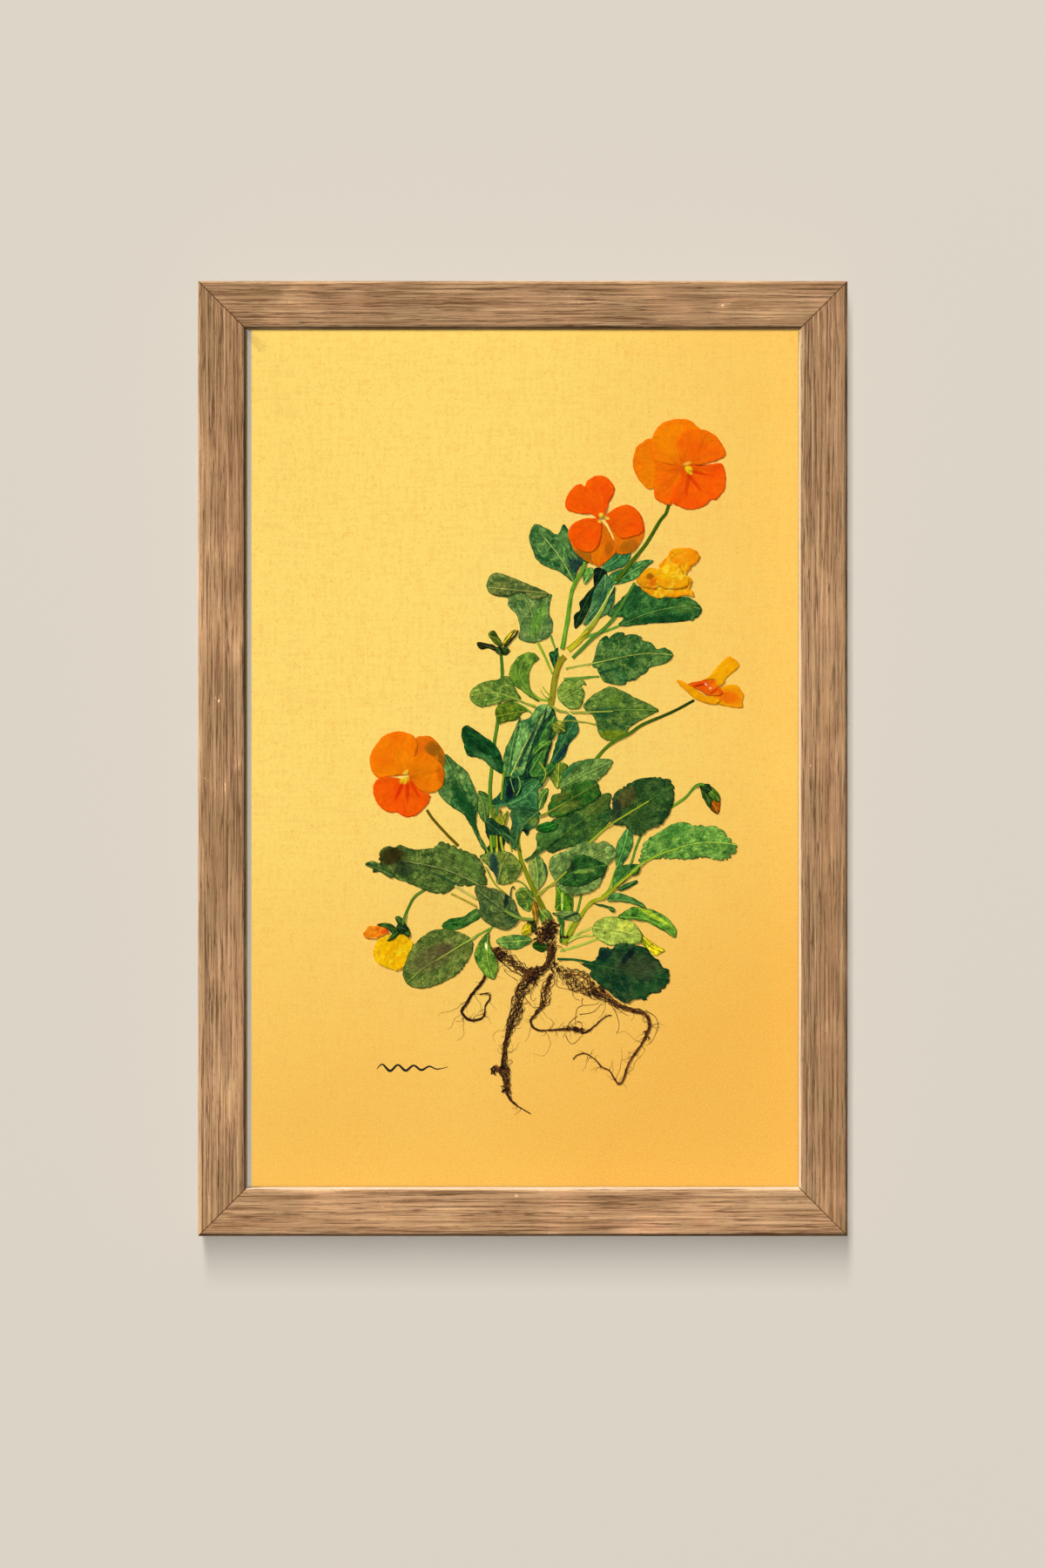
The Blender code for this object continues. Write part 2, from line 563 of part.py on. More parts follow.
def make_plant(materials, collection):
    """The pressed plant, on an empty at the middle of the sheet's front."""
    bed = bpy.data.objects.new("plant_bed", None)
    collection.objects.link(bed)
    bed.location = (0, SHEET_FRONT * MM, FRAME_MIDDLE * MM)
    for kind, pieces in (("leaf", LEAVES), ("petal", FLOWERS)):
        for name, (stack, level, outline) in pieces.items():
            made = flat_piece(name, smooth_closed(outline, OUTLINE_STEPS), LEAF_THICK,
                              materials[kind], collection, bed)
            made.location.y = -(level_height(stack, level) + LEAF_THICK / 2) * MM
    for name, (bed_number, start_width, end_width, route) in STEMS.items():
        last = len(route) - 1
        widened = [(across, up, start_width + (end_width - start_width) * i / last)
                   for i, (across, up) in enumerate(route)]
        made = flat_tube(name, smooth_open(widened, ROUTE_STEPS), STEM_FLATNESS,
                         materials["stem"], collection, bed)
        made.location.y = -STEM_BEDS[bed_number] * MM
    for name, route in ROOTS.items():
        made = flat_tube(name, smooth_open(route, ROUTE_STEPS), ROOT_FLATNESS,
                         materials["root"], collection, bed)
        made.location.y = -ROOT_BED * MM
    make_capsule(materials["capsule"], collection, bed)
    make_bud(materials["bud"], collection, bed)


def make_capsule(material, collection, bed):
    """The open seed capsule: three split arms and a knob, pressed flat."""
    made = flat_piece("seed_capsule", smooth_closed(CAPSULE_OUTLINE, OUTLINE_STEPS),
                      CAPSULE_THICK, material, collection, bed)
    made.location.y = -CAPSULE_BED * MM


def make_bud(material, collection, bed):
    """The nodding bud, a flattened egg."""
    mesh = bpy.data.meshes.new("bud")
    form = bmesh.new()
    bmesh.ops.create_uvsphere(form, u_segments=BUD_SIDES, v_segments=BUD_RINGS, radius=0.5)
    squeeze = Matrix.Diagonal((BUD_WIDTH * MM, BUD_THICK * MM, BUD_LENGTH * MM, 1))
    lean = Matrix.Rotation(math.radians(-BUD_LEAN_DEGREES), 4, "Y")
    bmesh.ops.transform(form, matrix=lean @ squeeze, verts=form.verts)
    form.to_mesh(mesh)
    form.free()
    mesh.shade_smooth()
    made = make_object("bud", mesh, material, collection, bed)
    across, up = BUD_MIDDLE
    made.location = Vector((across, -FRONT_LEVELS_FROM, up)) * MM


def main():
    clear_scene()
    parts = make_collection("pressed_flower_frame")
    cutters = make_collection("cutters")
    materials = {
        "oak": make_material("oak", (0.42, 0.25, 0.13), 0.55),
        "glass": make_material("glass", (0.95, 0.98, 0.97), 0.05, alpha=0.25),
        "sheet": make_material("yellow_sheet", (0.95, 0.62, 0.15), 0.85),
        "underlay": make_material("underlay_card", (0.75, 0.73, 0.68), 0.85),
        "board": make_material("backing_board", (0.32, 0.20, 0.11), 0.8),
        "steel": make_material("steel", (0.6, 0.58, 0.5), 0.35, metallic=1.0),
        "leaf": make_material("leaf", (0.08, 0.2, 0.06), 0.7),
        "petal": make_material("petal", (0.95, 0.25, 0.01), 0.7),
        "stem": make_material("stem", (0.25, 0.35, 0.06), 0.65),
        "root": make_material("root", (0.1, 0.04, 0.02), 0.85),
        "capsule": make_material("capsule", (0.09, 0.12, 0.03), 0.7),
        "bud": make_material("bud", (0.08, 0.16, 0.04), 0.7),
    }
    rails = make_rails(materials["oak"], parts)
    board_back = make_stack(materials, parts)
    make_tabs(rails, board_back, materials["steel"], parts, cutters)
    make_hanger(rails["rail_top"], materials, parts, cutters)
    make_plant(materials, parts)


if __name__ == "__main__":
    main()
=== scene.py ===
"""Pressed flower frame: the looks of every piece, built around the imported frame.

Run as a script, it registers its operators, runs them in order and leaves the scene ready.
Outlines and routes are (across, up) in millimetres from the middle of the glass. Thin pieces
are laid flat first and then settled, from the lowest layer to the highest, on what lies below.
"""

import json
import math
import random

import bpy
import numpy as np
from bpy.props import FloatProperty, FloatVectorProperty, IntProperty, PointerProperty
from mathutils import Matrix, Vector, geometry, noise

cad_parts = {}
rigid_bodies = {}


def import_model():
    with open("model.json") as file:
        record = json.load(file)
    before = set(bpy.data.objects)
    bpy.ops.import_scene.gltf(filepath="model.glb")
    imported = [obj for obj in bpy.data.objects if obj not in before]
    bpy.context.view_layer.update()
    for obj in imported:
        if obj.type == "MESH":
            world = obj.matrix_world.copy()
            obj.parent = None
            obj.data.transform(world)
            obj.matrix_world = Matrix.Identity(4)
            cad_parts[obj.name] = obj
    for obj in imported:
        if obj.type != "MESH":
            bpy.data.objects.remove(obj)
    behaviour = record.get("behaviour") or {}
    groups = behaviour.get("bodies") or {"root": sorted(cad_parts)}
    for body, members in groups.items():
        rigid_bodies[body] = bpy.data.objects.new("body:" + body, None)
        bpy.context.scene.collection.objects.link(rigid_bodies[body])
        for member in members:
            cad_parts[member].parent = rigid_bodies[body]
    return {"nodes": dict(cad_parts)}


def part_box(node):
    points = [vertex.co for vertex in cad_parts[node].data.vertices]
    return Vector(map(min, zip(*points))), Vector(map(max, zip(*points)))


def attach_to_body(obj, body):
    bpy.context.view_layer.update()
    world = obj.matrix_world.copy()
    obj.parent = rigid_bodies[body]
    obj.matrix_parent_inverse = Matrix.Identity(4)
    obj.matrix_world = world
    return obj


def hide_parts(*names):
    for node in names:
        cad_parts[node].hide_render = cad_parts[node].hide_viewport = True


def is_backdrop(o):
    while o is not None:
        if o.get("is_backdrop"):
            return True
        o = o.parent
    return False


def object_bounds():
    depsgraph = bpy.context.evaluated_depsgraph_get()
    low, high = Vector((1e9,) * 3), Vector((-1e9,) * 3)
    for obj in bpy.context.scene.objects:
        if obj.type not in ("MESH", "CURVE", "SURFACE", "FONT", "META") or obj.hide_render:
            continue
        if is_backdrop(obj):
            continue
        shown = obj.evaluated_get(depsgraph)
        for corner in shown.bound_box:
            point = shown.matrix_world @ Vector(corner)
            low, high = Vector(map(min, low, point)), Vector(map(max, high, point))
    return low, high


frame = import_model()

bl_info = {
    "name": "Pressed Flower Frame",
    "version": (1, 0, 0),
    "blender": (4, 5, 0),
    "location": "3D View > Sidebar > Pressed Flower",
    "description": "Finishes an oak frame and the pressed pansy behind its glass",
    "category": "Add Mesh",
}

MM = 0.001
ROOT = "root"
GLASS_LOW, GLASS_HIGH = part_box("glass")
SHEET_LOW, SHEET_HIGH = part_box("mount_sheet")
MIDDLE = (GLASS_LOW + GLASS_HIGH) / 2
SHEET_FRONT = SHEET_LOW.y
PLANT_ROOM = (SHEET_LOW.y - GLASS_HIGH.y) / MM

# Millimetres: the cells of the height map, and the height that the press holds the plant below
BED_CELL = 0.4
PRESS_LIMIT = 1.3

# Millimetres: how far a piece's underside is smoothed over what it lies on
LEAF_EASE = 1.6
SMALL_EASE = 1.2
FINE_EASE = 0.8

# Millimetres: how far a leaf's edge wanders, and how far apart side veins stand
LEAF_EDGE_WANDER = 0.12
SMALL_VEIN_PITCH = 2.2
SCALE_VEIN_PITCH = 1.4
SCALE_THICK = 0.14 * MM

# Half the width of a mitre's filler in millimetres; the wall's size and its gap in metres
MITRE_HALF = 0.2
WALL_SIZE = 3.2
WALL_GAP = 0.4 * MM


def rgb(red, green, blue):
    """A colour in linear light from its display values of 0 to 255."""
    shares = [level / 255 for level in (red, green, blue)]
    linear = [s / 12.92 if s <= 0.04045 else ((s + 0.055) / 1.055) ** 2.4 for s in shares]
    return (*linear, 1.0)


def tones(colour):
    """A leaf's own colour with its shaded and its light one, as display values."""
    red, green, blue = colour
    return colour, (red * 0.45, green * 0.66, blue * 0.72), (red + 32, green + 28, blue + 20)


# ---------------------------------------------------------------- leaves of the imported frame

# Layer, blade, shade, light and rib colours, tooth depth, vein spacing and the midrib
LEAVES = {
    "leaf_notched": (10, (72, 122, 78), (20, 78, 52), (118, 152, 96), (140, 168, 110),
                     0.0, 2.8, [(17, 58.5), (13, 66), (6, 75)]),
    "leaf_folded_top": (11, (108, 138, 96), (56, 100, 66), (148, 162, 110), (128, 150, 80),
                        0.0, 3.0, [(3.8, 38.7), (3.5, 46), (1, 53), (-5, 57.5), (-11, 59)]),
    "leaf_long_right": (10, (42, 98, 58), (16, 66, 40), (82, 128, 76), (95, 140, 80),
                        0.12, 3.4, [(32, 44.2), (42, 48.5), (52, 50.5), (59, 50)]),
    "leaf_toothed": (12, (74, 116, 72), (20, 74, 44), (112, 146, 88), (138, 160, 84),
                     0.1, 3.0, [(23.5, 31.6), (34, 34), (42, 35), (50, 34.5)]),
    "leaf_spoon_upper": (10, (102, 142, 56), (64, 108, 44), (134, 162, 74), (120, 160, 80),
                         0.0, 2.6, [(5.5, 19.5), (1, 24), (-1.2, 29), (1.5, 34)]),
    "leaf_spoon_left": (42, (114, 142, 70), (64, 104, 50), (156, 172, 98), (150, 170, 90),
                        0.1, 2.6, [(-1.2, 19.6), (-7, 21.5), (-12, 22), (-17, 21)]),
    "leaf_folded_right": (12, (88, 120, 62), (36, 80, 50), (126, 148, 76), (110, 150, 60),
                          0.0, 3.2, [(24, 15.5), (33, 16.2), (44, 16.2)]),
    "leaf_upright": (50, (112, 164, 108), (40, 100, 74), (140, 184, 120), (190, 208, 120),
                     0.0, 3.6, [(-4, -5.5), (2, 7), (5.5, 12), (8.7, 17.7)]),
    "leaf_pale_centre": (53, (96, 128, 78), (56, 100, 56), (126, 154, 98), (130, 165, 100),
                         0.1, 3.0, [(12, -10), (20, -5.5), (30, -0.8)]),
    "leaf_dark_left": (44, (8, 72, 38), (4, 48, 30), (50, 108, 66), (30, 90, 50),
                       0.12, 2.6, [(-6.5, -4.8), (-11, 3), (-19, 9.7)]),
    "leaf_long_left": (14, (100, 140, 92), (30, 84, 52), (128, 162, 104), (100, 150, 88),
                       0.0, 3.4, [(-12.3, -30.5), (-17, -20), (-20.5, -10), (-26, 1)]),
    "leaf_large_left": (46, (78, 108, 56), (40, 68, 38), (116, 138, 80), (126, 140, 96),
                        0.5, 3.2, [(-12.5, -43), (-24, -37.5), (-35, -34.8), (-47.5, -33)]),
    "leaf_dark_low": (58, (86, 104, 64), (42, 72, 48), (112, 126, 84), (110, 140, 90),
                      0.12, 3.0, [(-1, -52.8), (-8, -49), (-15.5, -43.3)]),
    "leaf_oval": (16, (100, 116, 64), (60, 90, 46), (130, 140, 88), (132, 156, 78),
                  0.3, 2.7, [(-17, -60), (-24.5, -64.3), (-32, -69), (-38.5, -74.3)]),
    "leaf_central_upper": (56, (44, 98, 40), (20, 66, 30), (78, 124, 52), (96, 120, 50),
                           0.5, 2.8, [(9, -17.6), (16, -13.5), (25.3, -8)]),
    "leaf_central_lower": (54, (58, 96, 46), (24, 68, 42), (90, 120, 60), (84, 110, 48),
                           0.16, 3.2, [(1.5, -33.3), (11, -27.3), (22.7, -17.9), (29.3, -12)]),
    "leaf_brown_right": (57, (44, 78, 42), (18, 56, 36), (84, 104, 62), (70, 116, 50),
                         0.45, 3.0, [(29.5, -21.3), (39, -15.6), (50.4, -9)]),
    "leaf_light_right": (18, (104, 156, 84), (60, 116, 60), (134, 174, 98), (156, 192, 90),
                         0.55, 2.9, [(38.6, -35.4), (51.7, -29.6), (62, -27.8), (71.2, -28.6)]),
    "leaf_pale_low": (20, (152, 174, 88), (130, 158, 78), (172, 190, 110), (182, 198, 112),
                      0.15, 2.6, [(23, -56.2), (31, -57), (39.3, -59)]),
    "leaf_large_low": (60, (26, 72, 46), (8, 48, 38), (72, 82, 56), (52, 96, 56),
                       0.5, 3.4, [(19, -67.6), (30, -69.8), (39, -71.6), (48.7, -73.2)]),
    "leaf_grey_fold": (62, (112, 142, 88), (66, 104, 66), (144, 166, 112), (130, 150, 90),
                       0.2, 3.0, [(11, -41), (18, -36), (28.5, -31)]),
}

# ------------------------------------------------------ small leaves that only this script makes

# Layer, colour and outline; the midrib joins its two ends
SMALL_LEAVES = {
    "leaf_beside_stem": (8, (118, 148, 72), [
        (12, 19.5), (11.5, 22.5), (13, 25.5), (16.5, 26.5), (19.5, 26.5), (21, 24.5),
        (19.5, 24.5), (20.5, 22), (20, 19.5), (19, 17), (16, 16.5), (14, 17.5)]),
    "leaf_under_spoon": (41, (108, 134, 38), [
        (2, 16), (0.5, 17), (-2.5, 19), (-5.5, 19), (-9, 17), (-9, 14), (-8, 11.5),
        (-6.5, 12), (-4, 12.5), (-2, 13), (-1, 14), (0.5, 15.5)]),
    "leaf_narrow_left": (48, (74, 128, 78), [
        (-5, -6), (-6.5, -6), (-6.5, 0), (-5.5, 4), (-4, 7), (-1.5, 13), (-1, 14.5), (-0.9, 12),
        (-1.5, 8.5), (-2, 3.5), (-4, -5.5)]),
    "leaf_narrow_middle": (52, (66, 124, 60), [
        (2, -5), (4, 2), (6, 8), (8.5, 12), (10.5, 14.5), (11.5, 12), (11, 8.5), (9.5, 5.5),
        (8, 2), (7, -2), (5, -6)]),
    "leaf_centre_dark": (49.5, (20, 66, 52), [
        (8.8, 17.4), (10.4, 16), (11, 12.6), (9.8, 9), (9.6, 5), (8.4, 0.6), (6.6, -5), (2, -6.4),
        (-2.4, -6.4), (0, 2), (3.4, 9), (6.4, 14)]),
    "leaf_upright_dark": (49, (40, 98, 68), [
        (9, -2), (10, 2), (12, 9), (14.5, 14.5), (17.5, 13.5), (18.5, 9), (15.5, 5), (14, 1),
        (11, -2)]),
    "leaf_centre_patch": (55, (82, 136, 62), [
        (3.5, 1), (6, 3), (9, 4.5), (9.5, 6), (8, 6.5), (5, 5), (3, 2.5)]),
    "leaf_yellow_centre": (51, (146, 162, 62), [
        (11.5, -10), (9.5, -7.5), (8.5, -5.5), (10, -3), (12, -1), (14, -1.5), (15, -2.5),
        (13.5, -5), (12.5, -7.5)]),
    "leaf_pale_sliver": (47, (108, 148, 72), [
        (5.2, -17.3), (5, -13.7), (5.8, -10.5), (7.2, -9.9), (8.6, -10.2), (7.6, -14.2)]),
    "leaf_teal_swoosh": (53.5, (70, 134, 94), [
        (-9.9, -16.6), (-8.6, -15.1), (-4, -14), (-1, -12.2), (0.4, -9.2), (4, -7.6), (6.4, -6.4),
        (6.6, -9), (5.1, -10.8), (5, -17), (3.4, -18.4), (-1, -16.4), (-4.4, -17), (-5.5, -15.6)]),
    "leaf_blue_green": (46.5, (20, 78, 62), [
        (-6.5, -4.5), (-3, -6), (1, -5.2), (5, -6), (4, -9), (1, -12), (-1, -13.5), (-4, -14.5),
        (-8, -15.5), (-10.2, -15.2), (-10, -13.8), (-8, -11.8), (-7, -10), (-6.8, -7)]),
    "leaf_green_tongue": (54.5, (54, 104, 68), [
        (5.4, -17.4), (5.3, -20), (4.6, -22.4), (2.6, -23.6), (1.4, -25.6), (0.2, -24.2),
        (-1, -24.6), (-1.8, -29), (-3.4, -30), (-4.4, -26), (-3.7, -22), (-4.2, -17.4), (-1, -16),
        (3, -16.4)]),
    "leaf_dark_chip": (59, (18, 96, 34), [
        (4.3, -23.5), (5.5, -21.8), (8.5, -21), (11.5, -21.5), (11, -23.3), (8.5, -24.4),
        (5.5, -24.2)]),
    "leaf_behind_left": (12.5, (88, 124, 66), [
        (-15, -11), (-13, -11), (-11.5, -12.5), (-11, -16), (-11.5, -20), (-12.5, -21.5),
        (-14.5, -19), (-15.2, -16)]),
    "leaf_lance_top": (3, (84, 146, 90), [
        (30, 58), (28.5, 60.5), (31, 62.5), (34, 63.5), (38, 65.5), (43, 66.2), (43, 65),
        (41, 63.5), (39, 61), (37, 59.5), (34, 58.5)]),
    "leaf_under_flower": (1, (60, 132, 94), [
        (26.5, 63.5), (27.5, 66), (30.2, 70), (35.5, 71), (36, 67.7), (34, 64.2), (31, 63),
        (27.5, 62)]),
    "leaf_under_flower_left": (1.5, (44, 108, 84), [
        (13.5, 67), (15, 71), (18, 73), (21, 70), (22.5, 66.5), (20.5, 64.5), (17.5, 65.5)]),
    "leaf_dark_top": (2, (2, 30, 30), [
        (24, 56.5), (23.5, 60.5), (24, 63.5), (26.5, 63.2), (28, 61.5), (26.5, 60), (25.4, 57)]),
    "leaf_teal_top": (5, (70, 124, 92), [
        (20, 44.6), (22, 49.5), (23.5, 55.5), (25.5, 59), (27.5, 61.5), (29.5, 59), (30.7, 56.5),
        (30.5, 53), (29.5, 50), (27.5, 47.7), (23.5, 45.6)]),
    "leaf_dark_blade": (4, (10, 46, 30), [
        (17.4, 43.3), (17, 46), (17.2, 48), (19, 49.5), (18.6, 51.5), (20.5, 54), (23.8, 57.4),
        (23.4, 53), (21.6, 49), (19.8, 45.3)]),
    "leaf_pale_strap": (6, (104, 160, 84), [
        (20.3, 58), (20, 62.5), (23, 63.6), (23.6, 62), (22, 59.2)]),
    "leaf_curled_low": (15, (38, 96, 42), [
        (-27, -55.4), (-24.5, -53.2), (-20, -52.6), (-16.5, -50.2), (-14.8, -50), (-14.4, -53),
        (-17.5, -55), (-21, -56.6), (-25.5, -57)]),
    "leaf_pointed": (69, (106, 148, 60), [
        (-11.6, -57.6), (-11, -62), (-9, -66), (-8.4, -69.5), (-9.8, -73.4), (-13.5, -71),
        (-16, -66.5), (-15.4, -62.5)]),
    "leaf_small_oval": (22, (124, 162, 84), [
        (3.2, -60.2), (1, -62), (-2, -63.5), (-6, -63.1), (-9, -61), (-7.5, -59.4),
        (-4, -58.6), (-0.5, -58.6)]),
    "leaf_shadow_oval": (21, (34, 84, 20), [
        (9, -62.6), (6.5, -64.2), (4.4, -63.6), (3, -62.4), (4.2, -60.8), (7.8, -61.5)]),
    "leaf_round_low": (47.5, (116, 134, 66), [
        (-8.4, -41.5), (-9.4, -38.6), (-11.5, -36), (-14.5, -32.5), (-12, -31.4), (-9, -31),
        (-4.5, -31), (-1.6, -33.4), (-0.4, -36), (-1.5, -39), (-4, -41.4)]),
    "leaf_beside_low_stem": (24, (138, 162, 92), [
        (4.9, -43.9), (3.2, -40.6), (1.8, -36), (3.9, -32), (6.5, -33.3), (8.3, -38.6)]),
    "leaf_below_brown": (17, (84, 146, 82), [
        (31, -36.6), (31, -29.4), (32.5, -26), (35, -23), (36.6, -25.5), (36, -30), (34, -34)]),
    "leaf_teal_bract": (19, (58, 116, 60), [
        (27.2, -46.2), (29.3, -43.6), (31.3, -36.4), (36.6, -35), (38.8, -35.4), (36, -38.6),
        (32, -42.6)]),
    "leaf_bract_flap": (19.5, (80, 122, 44), [
        (31.4, -41.6), (34, -39), (36.2, -38.9), (38.4, -38.4), (38.8, -35.6), (35, -38)]),
    "leaf_finger": (26, (40, 106, 62), [
        (31.3, -43.9), (33.5, -42), (36, -40.8), (38, -40.4), (38, -41.3), (34.7, -43.3)]),
    "leaf_side_dark": (27, (76, 134, 76), [
        (28, -47.2), (30, -44.6), (33, -45), (36, -46), (38, -47), (40, -48.2), (40.6, -49.4),
        (38, -48.8), (36, -48.2), (32.5, -47.5)]),
    "leaf_club": (25, (52, 112, 58), [
        (23.4, -48), (27, -48.5), (30, -49.4), (30.6, -50.4), (29.5, -51.1), (28, -49.7),
        (25.5, -49)]),
    "leaf_sickle": (23, (92, 148, 58), [
        (31.5, -52.6), (34, -50.6), (37, -49.1), (40.5, -49.5), (44, -50.5), (47.5, -52.5),
        (50, -55), (51.1, -57.2), (50.5, -59.6), (48, -58), (44.5, -56), (41, -54.2),
        (37.5, -53.6), (34, -53.4)]),
    "leaf_behind_pale": (18.5, (96, 146, 62), [
        (34.5, -54), (36.8, -54.6), (38, -56), (39.6, -58), (39.6, -60.8), (36.7, -60)]),
    "leaf_yellowed": (18.2, (236, 206, 34), [
        (39.3, -58.4), (43, -61), (46.5, -63), (47, -64), (44, -65.6), (42, -63.6), (39.4, -61.6)]),
    "leaf_fold_inside": (64, (42, 96, 46), [
        (12.3, -41.6), (14.4, -37.5), (16, -35), (16.8, -32.6), (20.5, -32), (24.5, -33.6),
        (28, -35.4), (26.6, -38.6), (22.5, -41), (18.8, -42.4)]),
    "leaf_strap_low": (14.5, (96, 148, 30), [
        (10.8, -50.3), (11, -45.5), (11, -42), (13.5, -44.2), (15.8, -45.6), (15.8, -50.3),
        (13, -50.8)]),
    "leaf_saddle": (59.5, (112, 140, 84), [
        (9.6, -51.4), (12, -51), (14, -50.5), (16.6, -50.5), (18.6, -51.4), (19.2, -53),
        (17.6, -54.4), (15.8, -53.6), (13.5, -53.4)]),
    "leaf_saddle_base": (14.7, (84, 140, 60), [
        (11.4, -52.8), (13.6, -52.6), (13.6, -56), (13.2, -60.8), (12.2, -60.8), (12.2, -56)]),
    "leaf_curl_tip": (47.2, (72, 102, 58), [
        (-52.5, -35.4), (-51, -34), (-48.5, -34.4), (-44.5, -36.6), (-43, -39), (-44.5, -39.6),
        (-47.5, -37.6), (-50, -37.8), (-50, -36.5)]),
    "leaf_top_flap": (12.2, (112, 124, 74), [
        (8.5, 55), (4, 53), (0.5, 55), (-2, 55.2), (-5, 54), (-8.5, 54.2), (-11, 55.2),
        (-11.8, 57), (-11.3, 59.4), (-9, 61.8), (0, 58.6)]),
    "leaf_crown_curl": (38, (112, 146, 66), [
        (-2.1, -44), (-0.4, -42.7), (2, -43.5), (3.4, -45.2), (3.2, -47.3), (4, -49),
        (2, -50.8), (0.2, -50.2), (-1.6, -48.4), (-2.4, -46.1)]),
    "leaf_crown_sheath": (66, (176, 122, 32), [
        (3.2, -47.6), (4.4, -47.4), (5.3, -50.2), (5.1, -53.1), (4.4, -55), (3.6, -53.2),
        (2.9, -50.8)]),
    "leaf_crown_scrap": (37, (204, 180, 30), [
        (-0.6, -57.8), (0.2, -55.4), (1.6, -54.8), (3, -55.6), (2.6, -58.2), (1, -58.8)]),
    "leaf_crown_shard": (65, (110, 138, 60), [
        (5.6, -50.4), (8, -50), (9.6, -52.4), (9.8, -55), (7.6, -55.4), (5.8, -54)]),
    "leaf_young_bud": (57.5, (142, 148, 58), [
        (9.7, 11.6), (12, 12.6), (14.2, 11.6), (14.2, 9), (12, 8.4), (10, 9.4)]),
    "leaf_node_scale": (36, (24, 86, 54), [
        (8.6, 35), (9.4, 32), (10.6, 29.8), (11.4, 33), (11.6, 37), (10.4, 36)]),
    "leaf_sheath": (56.5, (146, 150, 40), [
        (-10.2, -17.4), (-9.4, -17.2), (-8.6, -19.4), (-7.9, -17.2), (-7.2, -17.2), (-7, -19.6),
        (-5.6, -17.6), (-4.8, -17.8), (-5.4, -20), (-6, -22.2), (-7.4, -22), (-9, -20.8),
        (-10, -18.8)]),
    "leaf_dark_band": (56, (26, 72, 52), [
        (-12.6, -20.6), (-10.5, -19.6), (-8.8, -20.6), (-6.4, -22.2), (-4.8, -22.9), (-4.2, -26),
        (-4.8, -28.2), (-6, -27.2), (-7.4, -25.8), (-10.8, -25.2), (-12, -25.8), (-12.4, -23)]),
    "leaf_dark_behind": (8.5, (20, 60, 40), [
        (-12.4, -24), (-9, -24.4), (-6.6, -25), (-6, -27), (-6.6, -30.8), (-7, -32), (-11.6, -32.6),
        (-12.6, -30.6), (-11.2, -28.6), (-11.6, -26.4)]),
    "leaf_crown_dark": (35, (48, 54, 22), [
        (1.6, -53.8), (4.2, -53.8), (4.6, -57.2), (2.8, -57.8), (1.6, -56.2)]),
    "leaf_centre_scale": (54.2, (58, 118, 60), [
        (5, -5.6), (7, -3), (9.6, -1), (11, -2.4), (9.4, -5), (7.4, -7.4), (6.4, -9), (5.6, -8)]),
}

